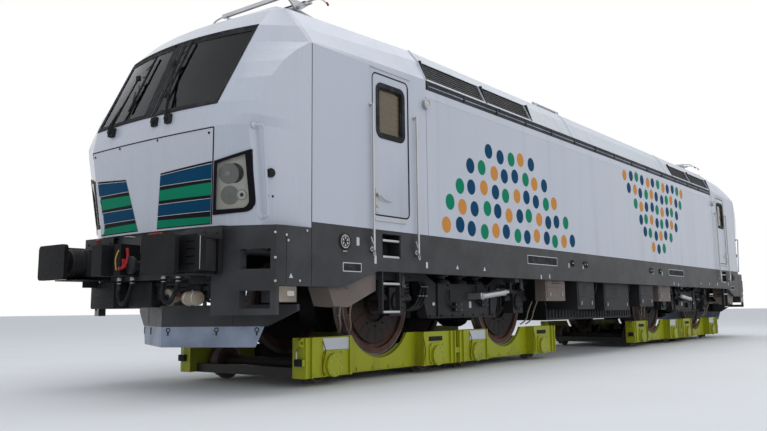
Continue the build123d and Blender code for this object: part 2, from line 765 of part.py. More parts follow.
def bogie_springs():
    """Primary springs beside each axle box and secondary springs under the body."""
    springs = []
    # Columns: x, bottom, top, radius
    table = []
    for x in (half_wheelbase, -half_wheelbase):
        table += [(x - 240, wheel_radius + 70, side_beam_top - side_beam_depth, 80)]
        table += [(x + 240, wheel_radius + 70, side_beam_top - side_beam_depth, 80)]
    table += [(x, spring_seat, deck_bottom - move_gap, 115) for x in (-420, 0, 420)]
    for x, low, high, radius in table:
        turns = 4
        pitch = (high - low) / turns
        inner = radius - 30
        side = []
        for turn in range(turns):
            z = low + turn * pitch
            side += [(inner, z), (radius, z + 0.25 * pitch), (radius, z + 0.75 * pitch)]
        outline = [(0, low)] + side + [(inner, high), (0, high)]
        face = make_face(Polyline(*[(r, 0, z) for r, z in outline], close=True))
        spring = Pos(x, side_beam_y, 0) * revolve(face, axis=Axis.Z)
        springs += at_both_sides(spring)
    return springs


def bogie_dampers():
    """Upright dampers at the axle boxes and the bright damper along each side."""
    dampers = []
    y1 = side_beam_y + side_beam_width / 2
    box_top = wheel_radius + 170
    for x in (half_wheelbase, -half_wheelbase):
        body = rod_z(38, box_top + 25, 930, x - 60, y1 + 45) + rod_z(28, 930, 990, x - 60, y1 + 45)
        for z in (box_top, side_beam_top - 25):
            body = body + block(x - 100, x - 20, y1, y1 + 85, z, z + 25)
        dampers += at_both_sides(body)
    arm = block(-200, -120, y1, 1330, 660, 740)
    yaw = strut(46, (-160, 1300, 700), (-820, 1300, 762)) + strut(30, (-820, 1300, 762), (-935, 1300, 773))
    dampers += at_both_sides(arm + yaw)
    return dampers


def motors():
    blocks = []
    for side in (1, -1):
        x = side * (half_wheelbase - 560)
        drum = rod_y(330, -480, 480, x, 700)
        nose_in, nose_out = sorted((side * 280, x))
        drum = drum + block(nose_in, nose_out, -180, 180, 700, 820)
        case_in, case_out = sorted((x, side * (half_wheelbase + 200)))
        case = block(case_in, case_out, 480, 620, 520, 820)
        case = case - rod_y(axle_radius + 25, 400, 700, side * half_wheelbase, wheel_radius)
        blocks.append(drum + case)
    return blocks


def dolly(x, outward):
    """One dolly: two webs cut round the wheel, end boxes with bearing covers, saddles and cross beams."""
    half = dolly_length / 2
    y0, y1, box_y = dolly_web_y - dolly_web_thickness, dolly_web_y, dolly_box_y
    side = block(x - half, x + half, y0, y1, dolly_bottom, dolly_top)
    side = side - rod_y(wheel_radius + 30, y0 - 1, y1 + 1, x, wheel_radius)
    for turn in (1, -1):
        outer, inner = x + turn * half, x + turn * (half - dolly_box_length)
        low, high = sorted((outer, inner))
        box = block(low, high, y1, box_y, dolly_bottom, dolly_top)
        slot_low, slot_high = sorted((inner + turn * 130, inner + turn * 430))
        box = box - block(slot_low, slot_high, box_y - 60, box_y + 1, dolly_top - 120, dolly_top - 60)
        side = side + box
        for rib_x in (inner, outer - turn * 120, outer - turn * 20):
            side = side + block(rib_x - 12, rib_x + 12, box_y, box_y + 25, dolly_bottom, dolly_top)
        axle_x = x + turn * dolly_wheel_spacing / 2
        side = side + rod_y(125, box_y, box_y + 50, axle_x, dolly_axle_height)
        side = side - rod_y(60 + fit, y0 - 1, dolly_journal_end + fit, axle_x, dolly_axle_height)
        if turn == outward:
            eye = rod_y(50, box_y - 45, box_y, outer + turn * 5, dolly_top - 50)
            side = side + eye - rod_y(20, box_y - 46, box_y + 1, outer + turn * 25, dolly_top - 50)
        pad_low, pad_high = sorted((outer, outer + turn * 35))
        side = side + block(pad_low, pad_high, box_y - 90, box_y + 20, -40, 30)
    saddle = block(x - 430, x + 430, back_to_back / 2 + 50, y0, dolly_bottom, 120)
    saddle = saddle - rod_y(wheel_radius + fit, back_to_back / 2, y0 + 1, x, wheel_radius)
    frame = side + saddle
    frame = frame + flip_y(frame)
    for shift in (half - 160, 160 - half, 330, -330):
        frame = frame + block(x + shift - 60, x + shift + 60, -y0, y0, dolly_bottom, -70)
    return frame


def make_bogies():
    frame, boxes = bogie_frame()
    for bogie, side in (("front", 1), ("rear", -1)):
        place = Pos(side * bogie_x, 0, 0)
        turn = Rot(0, 0, 0) if side == 1 else Rot(0, 0, 180)
        save(f"bogie_frame_{bogie}", place * turn * frame, *[place * box for box in boxes])
        save(f"springs_{bogie}", *[place * turn * spring for spring in bogie_springs()])
        save(f"dampers_{bogie}", *[place * turn * damper for damper in bogie_dampers()])
        save(f"motors_{bogie}", *[place * motor for motor in motors()])
        save(f"dollies_{bogie}", place * dolly(half_wheelbase, 1), place * dolly(-half_wheelbase, -1))


def make_pantographs():
    """Folded arms over each cab: base, lower arm, upper arm and head."""
    base_x = cab_seam_x - seam_to_pan
    knee_x = base_x - lower_arm
    z = roof_height + pan_base_rise
    top = roof_height
    low, high = z - 110, z - 60
    base = block(base_x - 900, base_x + 500, -450, -390, low, high)
    base = base + flip_y(base)
    for x in (base_x - 900, base_x - 60, base_x + 440):
        base = base + block(x, x + 60, -450, 450, low, high)
    post = block(base_x - 40, base_x + 40, 130, 180, low, z + 40)
    pin = rod_y(18, -180, 180, base_x, z)
    base = base + post + flip_y(post) + pin
    insulators = []
    for x in (base_x - 870, base_x + 470):
        for y in (420, -420):
            insulators.append(rod_z(60, top, low, x, y))
    lower = rod_y(50, -120, 120, base_x, z) + rod_x(45, knee_x, base_x - 20, 0, z)
    lower = lower + rod_y(30, -300, 300, knee_x, z)
    lower = lower - rod_y(18 + fit, -200, 200, base_x, z)
    reach_x = knee_x + upper_arm
    yoke_z = z + 60
    ear = rod_y(60, 250, 285, knee_x, z) - rod_y(30 + fit, 240, 290, knee_x, z)
    upper = ear + (strut(22, (knee_x + 45, 267, z), (reach_x, 480, yoke_z)) - rod_y(55, 200, 500, knee_x, z))
    upper = upper + flip_y(upper)
    upper = upper + rod_y(22, -560, 560, reach_x, yoke_z)
    carrier = prism_y(((reach_x - 30, yoke_z - 30), (reach_x + 30, yoke_z - 30), (reach_x + 190, z + 150),
                       (reach_x - 190, z + 150)), 520, 540)
    carrier = carrier - rod_y(22 + fit, 500, 560, reach_x, yoke_z)
    pan = carrier + flip_y(carrier)
    for x in (reach_x - 190, reach_x + 150):
        pan = pan + block(x, x + 40, -600, 600, z + 150, z + 195)
    save("pan_bases", *at_both_ends(base))
    save("insulators", *[copy for post in insulators for copy in at_both_ends(post)])
    for place, rear in (("front", False), ("rear", True)):
        for name, solid in (("pan_lower", lower), ("pan_upper", upper), ("pan_head", pan)):
            save(f"{name}_{place}", flip_x(solid) if rear else solid)


# Roof busbar, columns of its posts: x
busbar_posts = (1440, 2240)
busbar_y = 1040
busbar_rise = 125


def make_roof_equipment():
    """The bare bar that crosses the roof's middle on its post insulators."""
    top = roof_height + busbar_rise
    bar = rod_x(20, busbar_posts[0] - 60, busbar_posts[1] + 60, busbar_y, top)
    for x in busbar_posts:
        bar = bar + rod_z(45, roof_height, top, x, busbar_y)
    save("roof_equipment", bar)


def main():
    os.makedirs("parts", exist_ok=True)
    make_noses()
    make_cab_walls()
    make_doors()
    make_roofs()
    make_side_walls()
    make_underframe()
    make_front_modules()
    make_plows()
    make_buffers()
    make_couplers()
    make_hoses()
    make_ladders()
    make_side_fittings()
    make_wipers()
    make_floor_boxes()
    make_cab_interiors()
    make_wheels()
    make_bogies()
    make_pantographs()
    make_roof_equipment()
    print(len(saved), "pieces")


main()
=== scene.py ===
import json
from math import cos, pi, radians, sin

import bpy
from mathutils import Matrix, Vector


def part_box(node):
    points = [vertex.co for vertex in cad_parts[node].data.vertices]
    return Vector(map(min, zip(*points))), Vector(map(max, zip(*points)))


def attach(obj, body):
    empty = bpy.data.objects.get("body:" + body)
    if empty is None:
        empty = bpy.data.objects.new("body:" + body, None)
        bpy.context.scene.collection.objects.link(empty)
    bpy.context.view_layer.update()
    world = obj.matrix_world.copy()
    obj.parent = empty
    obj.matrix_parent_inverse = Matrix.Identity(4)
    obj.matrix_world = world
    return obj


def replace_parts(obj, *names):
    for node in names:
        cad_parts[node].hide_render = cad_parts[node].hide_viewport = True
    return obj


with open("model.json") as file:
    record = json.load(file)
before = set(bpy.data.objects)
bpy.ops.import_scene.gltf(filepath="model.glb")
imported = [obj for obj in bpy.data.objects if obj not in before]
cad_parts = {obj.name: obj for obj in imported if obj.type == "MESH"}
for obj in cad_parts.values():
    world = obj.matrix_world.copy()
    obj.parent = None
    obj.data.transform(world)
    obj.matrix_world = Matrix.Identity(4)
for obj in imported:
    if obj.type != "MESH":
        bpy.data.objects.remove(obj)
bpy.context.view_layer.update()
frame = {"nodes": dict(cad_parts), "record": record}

bl_info = {
    "name": "Electric Locomotive",
    "version": (1, 0, 0),
    "blender": (4, 5, 0),
    "location": "3D View > Sidebar > Locomotive",
    "description": "Finishes, markings and fittings of an electric locomotive on transport dollies",
    "category": "Object",
}

# Places are in millimetres, with their heights over the locomotive's own rail, unless a comment says metres.
# The flanges' reach under the rail, the rail's height in the frame and the nose's front end, in metres
flange_height = 0.028
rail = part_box("wheelset_front_a")[0][2] + flange_height
nose_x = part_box("noses")[1][0]
# The floor's height over the rail, the side walls' face and the bogies' middle
ground = -1000 * rail
side_y = 1000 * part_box("side_walls")[1][1]
bogie_x = 500 * (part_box("bogie_frame_front")[0][0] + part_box("bogie_frame_front")[1][0])
roof_top = 3765
axle_z = 625
small_axle_z = ground + 218
bogies = (("front", 1), ("rear", -1))


def paint_property(name, description, default):
    return bpy.props.FloatVectorProperty(name=name, description=description, subtype="COLOR", default=default)


class LocomotiveColours(bpy.types.PropertyGroup):
    """Paint and metal colours, as linear values."""

    # The body's white is given darker than the paint itself: partly white paint and partly painted shade on the walls
    # and nose.
    body: paint_property("Body", "Paint of the walls and doors", (0.46, 0.485, 0.545))
    roof: paint_property("Roof", "Paint of the roof panels", (0.54, 0.56, 0.595))
    sill: paint_property("Sill", "Paint of the underframe and front beams", (0.034, 0.034, 0.037))
    dark: paint_property("Running gear", "Paint of the bogies and boxes", (0.016, 0.016, 0.018))
    dolly: paint_property("Dollies", "Paint of the transport dollies", (0.335, 0.36, 0.008))
    blue: paint_property("Blue", "Blue stripes and shapes", (0.002, 0.050, 0.115))
    green: paint_property("Green", "Green stripes and shapes", (0.004, 0.20, 0.105))
    orange: paint_property("Orange", "Orange shapes on the sides", (0.56, 0.24, 0.055))
    rust: paint_property("Rust", "Rust on the wheels", (0.085, 0.040, 0.030))
    blade: paint_property("Plow blade", "Paint of the lower plow blades", (0.24, 0.28, 0.36))
    crate: paint_property("Sand boxes", "Paint of the sand boxes", (0.16, 0.13, 0.115))


class LocomotiveStage(bpy.types.PropertyGroup):
    """Lights and background."""

    sky: bpy.props.FloatProperty(name="Sky", description="Strength of the plain light all round", default=0.74)
    top: bpy.props.FloatProperty(
        name="Top light", description="Power of the wide lamp above", default=1150.0, unit="POWER")
    side: bpy.props.FloatProperty(
        name="Side light", description="Power of the wide lamp on the left side", default=650.0, unit="POWER")
    front: bpy.props.FloatProperty(
        name="Front light", description="Power of the lamp before the nose", default=150.0, unit="POWER")


# Sizes and heights in the finishes are in metres
class Finish:
    """A material that is built up from short steps."""

    def __init__(self, name, roughness=0.5, metallic=0.0, coat=0.0, gloss=0.5):
        self.material = bpy.data.materials.new(name)
        self.material.use_nodes = True
        self.tree = self.material.node_tree
        self.shader = self.tree.nodes["Principled BSDF"]
        self.shader.inputs["Roughness"].default_value = roughness
        self.shader.inputs["Metallic"].default_value = metallic
        self.shader.inputs["Coat Weight"].default_value = coat
        self.shader.inputs["Coat Roughness"].default_value = 0.12
        self.shader.inputs["Specular IOR Level"].default_value = gloss
        self.place = self.node("ShaderNodeTexCoord").outputs["Object"]
        self.split = self.node("ShaderNodeSeparateXYZ")
        self.feed(self.split.inputs[0], self.place)

    def node(self, kind, **settings):
        node = self.tree.nodes.new(kind)
        for key, value in settings.items():
            setattr(node, key, value)
        return node

    def feed(self, socket, value):
        """Links an output to a socket, or sets a plain value on it."""
        if isinstance(value, bpy.types.NodeSocket):
            self.tree.links.new(value, socket)
        elif value is not None:
            socket.default_value = value

    def set(self, socket, value):
        self.feed(self.shader.inputs[socket], value)

    def axis(self, letter):
        return self.split.outputs[letter]

    def math(self, operation, *values):
        node = self.node("ShaderNodeMath", operation=operation)
        for socket, value in zip(node.inputs, values):
            self.feed(socket, value)
        return node.outputs[0]

    def stretched(self, x, y, z):
        """The place with each axis scaled, for streaks and grain."""
        node = self.node("ShaderNodeMapping")
        node.inputs["Scale"].default_value = (x, y, z)
        self.feed(node.inputs["Vector"], self.place)
        return node.outputs[0]

    def noise(self, scale, detail=4.0, place=None):
        node = self.node("ShaderNodeTexNoise")
        self.feed(node.inputs["Vector"], place or self.place)
        node.inputs["Scale"].default_value = scale
        node.inputs["Detail"].default_value = detail
        return node.outputs["Fac"]

    def rise(self, value, low, high):
        """0 below low, 1 above high, and smooth between them."""
        node = self.node("ShaderNodeMapRange", interpolation_type="SMOOTHSTEP")
        self.feed(node.inputs["Value"], value)
        node.inputs["From Min"].default_value = low
        node.inputs["From Max"].default_value = high
        return node.outputs["Result"]

    def spread(self, value, low, high):
        """A noise from 0 to 1 turned into a range of values."""
        node = self.node("ShaderNodeMapRange")
        self.feed(node.inputs["Value"], value)
        node.inputs["To Min"].default_value = low
        node.inputs["To Max"].default_value = high
        return node.outputs["Result"]

    def wheel_radius(self, steps, height):
        """How far a point is from its axle, for axles that lie at equal steps on both sides of the middle."""
        along = self.axis("X")
        for step in steps:
            along = self.math("SUBTRACT", self.math("ABSOLUTE", along), step)
        up = self.math("SUBTRACT", self.axis("Z"), height)
        square = self.math("ADD", self.math("MULTIPLY", along, along), self.math("MULTIPLY", up, up))
        return self.math("SQRT", square)

    def between(self, value, low, high, soft=0.004):
        """1 where a value lies between two limits."""
        return self.math("MULTIPLY", self.rise(value, low - soft, low + soft),
                         self.math("SUBTRACT", 1.0, self.rise(value, high - soft, high + soft)))

    def mix(self, factor, first, second):
        node = self.node("ShaderNodeMix", data_type="RGBA")
        self.feed(node.inputs[0], factor)
        self.feed(node.inputs[6], (*first, 1.0) if isinstance(first, tuple) else first)
        self.feed(node.inputs[7], (*second, 1.0) if isinstance(second, tuple) else second)
        return node.outputs[2]

    def upward(self):
        """How much the surface faces up."""
        geometry = self.node("ShaderNodeNewGeometry")
        split = self.node("ShaderNodeSeparateXYZ")
        self.feed(split.inputs[0], geometry.outputs["Normal"])
        return self.rise(split.outputs["Z"], 0.3, 0.95)

    def bump(self, height, strength, distance):
        node = self.node("ShaderNodeBump")
        node.inputs["Strength"].default_value = strength
        node.inputs["Distance"].default_value = distance
        self.feed(node.inputs["Height"], height)
        self.set("Normal", node.outputs["Normal"])


def tinted(color, share):
    """A colour made darker or lighter by a share."""
    return tuple(min(1.0, channel * share) for channel in color)


def smooth_paint(name, color, roughness=0.32, dust=0.25, coat=0.35, gloss=0.4):
    """Sprayed vehicle paint: faint panel waves, rain streaks and a little dust."""
    finish = Finish(name, roughness, 0.0, coat, gloss)
    broad = finish.noise(0.55, 3.0)
    streaks = finish.noise(5.0, 5.0, finish.stretched(1.0, 1.0, 0.07))
    low = finish.math("SUBTRACT", 1.0, finish.rise(finish.axis("Z"), 1.55, 2.6))
    paint = finish.mix(broad, tinted(color, 0.95), tinted(color, 1.04))
    marks = finish.math("MULTIPLY", finish.rise(streaks, 0.52, 0.78), dust)
    low_marks = finish.math("MULTIPLY", low, finish.rise(streaks, 0.4, 0.8))
    paint = finish.mix(marks, paint, tinted(color, 0.78))
    paint = finish.mix(finish.math("MULTIPLY", low_marks, dust), paint, tinted(color, 0.72))
    finish.set("Base Color", paint)
    finish.set("Roughness", finish.spread(streaks, roughness - 0.06, roughness + 0.12))
    finish.bump(finish.noise(1.6, 2.0), 0.05, 0.02)
    return finish.material


def dirty_paint(name, color, roughness=0.5, dust=0.5, dust_color=(0.10, 0.092, 0.08), gloss=0.2, grain=28.0,
                second=None):
    """Painted or cast metal of the running gear: dust on what faces up, stains and a fine grain.

    second is a colour and the ranges of the distance from the middle of the locomotive that it covers.
    """
    finish = Finish(name, roughness, 0.0, 0.0, gloss)
    blotches = finish.noise(2.3, 6.0)
    fine = finish.noise(grain, 5.0)
    paint = finish.mix(finish.rise(blotches, 0.3, 0.7), tinted(color, 0.72), tinted(color, 1.3))
    if second:
        along = finish.math("ABSOLUTE", finish.axis("X"))
        other = finish.mix(finish.rise(blotches, 0.3, 0.7), tinted(second[0], 0.85), tinted(second[0], 1.15))
        for low, high in second[1]:
            paint = finish.mix(finish.between(along, low, high), paint, other)
    settled = finish.math("MULTIPLY", finish.upward(), finish.rise(fine, 0.25, 0.65))
    spots = finish.math("MULTIPLY", finish.rise(blotches, 0.55, 0.75), finish.rise(fine, 0.5, 0.72))
    cover = finish.math("MULTIPLY", finish.math("MAXIMUM", settled, spots), dust)
    finish.set("Base Color", finish.mix(cover, paint, dust_color))
    finish.set("Roughness", finish.spread(fine, roughness - 0.12, roughness + 0.2))
    finish.bump(fine, 0.12, 0.004)
    return finish.material


def dolly_paint(name, color):
    """Thick yellow-green paint with scrapes, oily runs and dirt near the wheels, and painted shade on the cross members
    under the locomotive.
    """
    finish = Finish(name, 0.42, 0.0, 0.0, 0.3)
    runs = finish.noise(4.0, 6.0, finish.stretched(1.0, 1.0, 0.22))
    chips = finish.noise(19.0, 8.0)
    broad = finish.noise(1.1, 3.0)
    low = finish.math("SUBTRACT", 1.0, finish.rise(finish.axis("Z"), 0.06, 0.34))
    paint = finish.mix(broad, tinted(color, 0.86), tinted(color, 1.12))
    dirt = finish.math("MULTIPLY", finish.rise(runs, 0.5, 0.8), finish.spread(low, 0.25, 0.75))
    paint = finish.mix(dirt, paint, (0.075, 0.07, 0.035))
    chipped = finish.rise(chips, 0.68, 0.72)
    paint = finish.mix(finish.math("MULTIPLY", chipped, finish.rise(broad, 0.45, 0.6)), paint, (0.06, 0.05, 0.045))
    settled = finish.math("MULTIPLY", finish.upward(), 0.4)
    paint = finish.mix(settled, paint, (0.20, 0.19, 0.07))
    # Painted shade: the cross members between the side frames, where |y| is under 0.84 m, get a near-black colour for
    # the deep shade under the locomotive.
    across = finish.math("ABSOLUTE", finish.axis("Y"))
    shaded_cross_beam = finish.math("SUBTRACT", 1.0, finish.rise(across, 0.835, 0.845))
    finish.set("Base Color", finish.mix(shaded_cross_beam, paint, (0.022, 0.021, 0.018)))
    finish.set("Roughness", finish.spread(chips, 0.32, 0.62))
    finish.bump(chips, 0.08, 0.003)
    return finish.material


def rusty_wheel(name, rust, steps, axle_height, web, tread):
    """Dark webs, a rusty rim and a dull polish on the tread that has run."""
    finish = Finish(name, 0.7, 0.0, 0.0, 0.25)
    fine = finish.noise(38.0, 8.0)
    broad = finish.noise(4.5, 4.0)
    radius = finish.math("ADD", finish.wheel_radius(steps, axle_height), finish.spread(fine, -0.008, 0.008))
    color = finish.mix(finish.rise(broad, 0.3, 0.7), tinted(rust, 0.7), tinted(rust, 1.3))
    color = finish.mix(finish.rise(fine, 0.56, 0.7), color, tinted(rust, 0.4))
    worn = finish.math("MULTIPLY", finish.rise(radius, tread - 0.03, tread), finish.rise(broad, 0.25, 0.6))
    color = finish.mix(worn, color, (0.17, 0.135, 0.13))
    dark = finish.mix(finish.rise(broad, 0.4, 0.7), (0.018, 0.017, 0.016), tinted(rust, 0.45))
    color = finish.mix(finish.math("SUBTRACT", 1.0, finish.rise(radius, web - 0.006, web + 0.006)), color, dark)
    finish.set("Base Color", color)
    finish.set("Roughness", finish.spread(fine, 0.5, 0.85))
    finish.bump(fine, 0.25, 0.004)
    return finish.material


def brushed_metal(name, color, roughness=0.35, metallic=0.9, stretch=(1.0, 1.0, 14.0)):
    """Bare or zinc-plated metal with drawn grain and a few dull patches."""
    finish = Finish(name, roughness, metallic)
    grain = finish.noise(60.0, 3.0, finish.stretched(*stretch))
    patches = finish.noise(3.5, 5.0)
    metal = finish.mix(patches, tinted(color, 0.78), tinted(color, 1.12))
    finish.set("Base Color", metal)
    finish.set("Roughness", finish.spread(grain, roughness - 0.1, roughness + 0.18))
    finish.bump(grain, 0.05, 0.001)
    return finish.material


def damper_metal(name, color):
    """Bright tubes of the dampers beside the springs, and dull paint on the upright dampers."""
    finish = Finish(name, 0.3, 0.8)
    grain = finish.noise(60.0, 3.0, finish.stretched(14.0, 1.0, 1.0))
    height = finish.axis("Z")
    bright = finish.between(height, 0.93, 1.08, 0.02)
    along = finish.math("ABSOLUTE", finish.axis("X"))
    bright = finish.math("MULTIPLY", bright,
                         finish.between(finish.math("ABSOLUTE", finish.math("SUBTRACT", along, 4.75)), 0.05, 0.98))
    metal = finish.mix(finish.noise(3.5, 5.0), tinted(color, 0.8), tinted(color, 1.15))
    finish.set("Base Color", finish.mix(bright, (0.028, 0.028, 0.030), metal))
    finish.set("Metallic", finish.math("MULTIPLY", bright, 0.85))
    finish.set("Roughness", finish.spread(grain, 0.22, 0.45))
    return finish.material


def black_rubber(name, color=(0.014, 0.014, 0.015)):
    """Matt rubber with a dusty bloom."""
    finish = Finish(name, 0.75, 0.0, 0.0, 0.15)
    bloom = finish.noise(9.0, 6.0)
    finish.set("Base Color", finish.mix(finish.rise(bloom, 0.4, 0.75), color, tinted(color, 3.2)))
    finish.set("Roughness", finish.spread(bloom, 0.6, 0.9))
    finish.bump(finish.noise(140.0, 2.0), 0.1, 0.001)
    return finish.material


def tinted_glass(name, color):
    """Dark window glass with a faint film of dust; clear in front of the lamps and in the doors."""
    finish = Finish(name, 0.03)
    finish.shader.inputs["Transmission Weight"].default_value = 1.0
    finish.shader.inputs["IOR"].default_value = 1.22
    film = finish.noise(2.2, 4.0, finish.stretched(1.0, 1.0, 0.4))
    dark = finish.mix(film, tinted(color, 0.9), tinted(color, 1.15))
    low = finish.math("SUBTRACT", 1.0, finish.rise(finish.axis("Z"), 2.60, 2.64))
    door = finish.math("MULTIPLY", finish.rise(finish.math("ABSOLUTE", finish.axis("Y")), 1.46, 1.48),
                       finish.between(finish.math("ABSOLUTE", finish.axis("X")), 6.45, 7.20))
    finish.set("Base Color", finish.mix(finish.math("MAXIMUM", low, door), dark, (0.93, 0.95, 0.95)))
    finish.set("Roughness", finish.spread(film, 0.0, 0.06))
    return finish.material


def moulded_plastic(name, color, roughness=0.5):
    """Moulded plastic with a fine grain and slight fading."""
    finish = Finish(name, roughness, 0.0, 0.0, 0.3)
    fade = finish.noise(1.8, 4.0)
    finish.set("Base Color", finish.mix(fade, tinted(color, 0.88), tinted(color, 1.12)))
    finish.set("Roughness", finish.spread(fade, roughness - 0.08, roughness + 0.1))
    finish.bump(finish.noise(220.0, 2.0), 0.06, 0.0006)
    return finish.material


materials = {}


def make_materials(colours):
    """Every finish that the pieces use, by the name of its slot in the record."""
    body, sill, dark = tuple(colours.body), tuple(colours.sill), tuple(colours.dark)
    rust = tuple(colours.rust)
    materials.update({
        "body_white": smooth_paint("body paint", body, 0.32, 0.25, 0.1),
        "nose_white": smooth_paint("nose paint", body, 0.24, 0.15, 0.25),
        "roof_white": smooth_paint("roof paint", tuple(colours.roof), 0.45, 0.4, 0.0, 0.25),
        "frame_grey": dirty_paint("sill paint", sill, 0.42, 0.15, gloss=0.25),
        "bogie_black": dirty_paint("bogie paint", dark, 0.5, 0.5),
        "motor_black": dirty_paint("motor casting", dark, 0.6, 0.4),
        "cast_black": dirty_paint("coupler casting", tinted(dark, 0.6), 0.55, 0.25, gloss=0.12),
        "box_grey": dirty_paint("box paint", tinted(sill, 0.55), 0.5, 0.2, second=(tuple(colours.crate),
                                                                                   ((2.13, 2.92), (6.9, 8.0)))),
        "louvre_black": dirty_paint("louvre paint", tinted(sill, 0.8), 0.55, 0.3),
        "spring_black": dirty_paint("spring paint", tinted(dark, 1.3), 0.4, 0.45),
        "step_steel": dirty_paint("step paint", tinted(dark, 1.4), 0.5, 0.3),
        "damper_grey": damper_metal("damper steel", (0.50, 0.51, 0.53)),
        "rail_steel": brushed_metal("handrail steel", (0.45, 0.46, 0.46), 0.38),
        "dolly_yellow": dolly_paint("dolly paint", tuple(colours.dolly)),
        "dolly_wheel_iron": rusty_wheel("dolly wheel iron", tinted(rust, 0.6), (4.75, 1.5, 1.01), 0.218, 0.11, 0.185),
        "wheel_iron": rusty_wheel("wheel iron", rust, (4.75, 1.5), 0.893, 0.487, 0.612),
        "tinted_glass": tinted_glass("window glass", (0.17, 0.22, 0.28)),
        "cab_plastic": moulded_plastic("cab plastic", (0.05, 0.05, 0.055)),
        "lamp_housing": moulded_plastic("lamp housing", (0.44, 0.42, 0.37), 0.4),
        "hose_rubber": black_rubber("hose rubber"),
        "wiper_black": black_rubber("wiper rubber"),
        "insulator_brown": moulded_plastic("insulator glaze", (0.12, 0.035, 0.02), 0.2),
        "pan_steel": dirty_paint("current collector paint", (0.34, 0.34, 0.35), 0.4, 0.3),
        "pan_aluminium": brushed_metal("collector head metal", (0.5, 0.5, 0.52), 0.35),
        "roof_equipment_steel": brushed_metal("roof equipment metal", (0.42, 0.42, 0.44), 0.4),
        "blade_grey": dirty_paint("plow blade paint", tuple(colours.blade), 0.42, 0.35),
        "blue": smooth_paint("blue film", tuple(colours.blue), 0.5, 0.1, 0.0, 0.04),
        "green": smooth_paint("green film", tuple(colours.green), 0.5, 0.1, 0.0, 0.04),
        "orange": smooth_paint("orange film", tuple(colours.orange), 0.5, 0.1, 0.0, 0.04),
        "black": smooth_paint("black film", (0.007, 0.006, 0.009), 0.5, 0.1, 0.0, 0.06),
        "blind": moulded_plastic("door blind", (0.27, 0.195, 0.12), 0.8),
        "signal_red": moulded_plastic("red handles", (0.30, 0.012, 0.012), 0.4),
        "signal_yellow": moulded_plastic("yellow handles", (0.42, 0.22, 0.02), 0.4),
        "rope_red": moulded_plastic("rope", (0.14, 0.03, 0.025), 0.8),
        "beige": dirty_paint("beige paint", (0.24, 0.20, 0.155), 0.5, 0.3),
        "plate_white": smooth_paint("plate paint", (0.52, 0.54, 0.57), 0.4, 0.3, 0.1),
        "lamp_white": moulded_plastic("lamp glass", (0.50, 0.50, 0.46), 0.2),
        "lamp_grey": moulded_plastic("lamp rims", (0.24, 0.235, 0.22), 0.3),
        "mirror": moulded_plastic("lamp mirrors", (0.16, 0.165, 0.155), 0.25),
        "sand_box": dirty_paint("sand box paint", tuple(colours.crate), 0.5, 0.45),
    })


def deselect():
    bpy.ops.object.select_all(action="DESELECT")


def focus(piece):
    """Selects one piece alone and makes it active."""
    deselect()
    piece.select_set(True)
    bpy.context.view_layer.objects.active = piece


def at(point):
    """A place in millimetres over the rail, as metres in the frame."""
    x, y, z = point
    return Vector((x / 1000, y / 1000, rail + z / 1000))


def settle(name):
    """Names the active object and moves its place into its mesh."""
    piece = bpy.context.active_object
    piece.name = name
    bpy.ops.object.transform_apply(location=True, rotation=True, scale=True)
    return piece


def apply_modifier(piece, kind, **settings):
    """Adds one modifier to a piece and applies it."""
    focus(piece)
    modifier = piece.modifiers.new(kind.lower(), kind)
    for key, value in settings.items():
        setattr(modifier, key, value)
    bpy.ops.object.modifier_apply(modifier=modifier.name)
    return piece


def rounded(piece, edge, **settings):
    """A piece with its edges rounded by a radius in millimetres."""
    return apply_modifier(piece, "BEVEL", width=edge / 1000, segments=2, **settings) if edge else piece


def block(name, low, high, edge=0):
    """A box between two corners, with its edges rounded."""
    deselect()
    low, high = at(low), at(high)
    bpy.ops.mesh.primitive_cube_add(size=1, location=(low + high) / 2)
    bpy.context.active_object.scale = high - low
    return rounded(settle(name), edge)


def rod(name, start, end, radius, sides=20, edge=0, far_radius=None):
    """A round bar or a cone between two points."""
    deselect()
    start, end = at(start), at(end)
    place = {"vertices": sides, "depth": (end - start).length, "location": (start + end) / 2,
             "rotation": (end - start).to_track_quat("Z", "Y").to_euler()}
    if far_radius is None:
        bpy.ops.mesh.primitive_cylinder_add(radius=radius / 1000, **place)
    else:
        bpy.ops.mesh.primitive_cone_add(radius1=radius / 1000, radius2=far_radius / 1000, **place)
    return rounded(settle(name), edge, limit_method="ANGLE")


def ring(name, centre, axis, radius, thickness, sides=32):
    """A round ring about a centre."""
    deselect()
    turn = Vector(axis).to_track_quat("Z", "Y").to_euler()
    bpy.ops.mesh.primitive_torus_add(
        location=at(centre), rotation=turn, major_segments=sides, minor_segments=8, major_radius=radius / 1000,
        minor_radius=thickness / 1000)
    return settle(name)


def mesh_of(name, curve):
    """A curve made a mesh."""
    piece = bpy.data.objects.new(name, curve)
    bpy.context.scene.collection.objects.link(piece)
    focus(piece)
    bpy.ops.object.convert(target="MESH")
    return bpy.context.active_object


def tube(name, points, radius, tension=3):
    """A bent bar or hose along a few points."""
    curve = bpy.data.curves.new(name, "CURVE")
    curve.dimensions = "3D"
    curve.bevel_depth = radius / 1000
    curve.bevel_resolution = 2
    curve.resolution_u = 6
    curve.use_fill_caps = True
    spline = curve.splines.new("NURBS")
    spline.points.add(len(points) - 1)
    for point, place in zip(spline.points, points):
        point.co = (*at(place), 1.0)
    spline.order_u = tension
    spline.use_endpoint_u = True
    return mesh_of(name, curve)


def join(name, pieces):
    """Makes several pieces one."""
    deselect()
    for piece in pieces:
        piece.select_set(True)
    bpy.context.view_layer.objects.active = pieces[0]
    if len(pieces) > 1:
        bpy.ops.object.join()
    pieces[0].name = name
    return pieces[0]


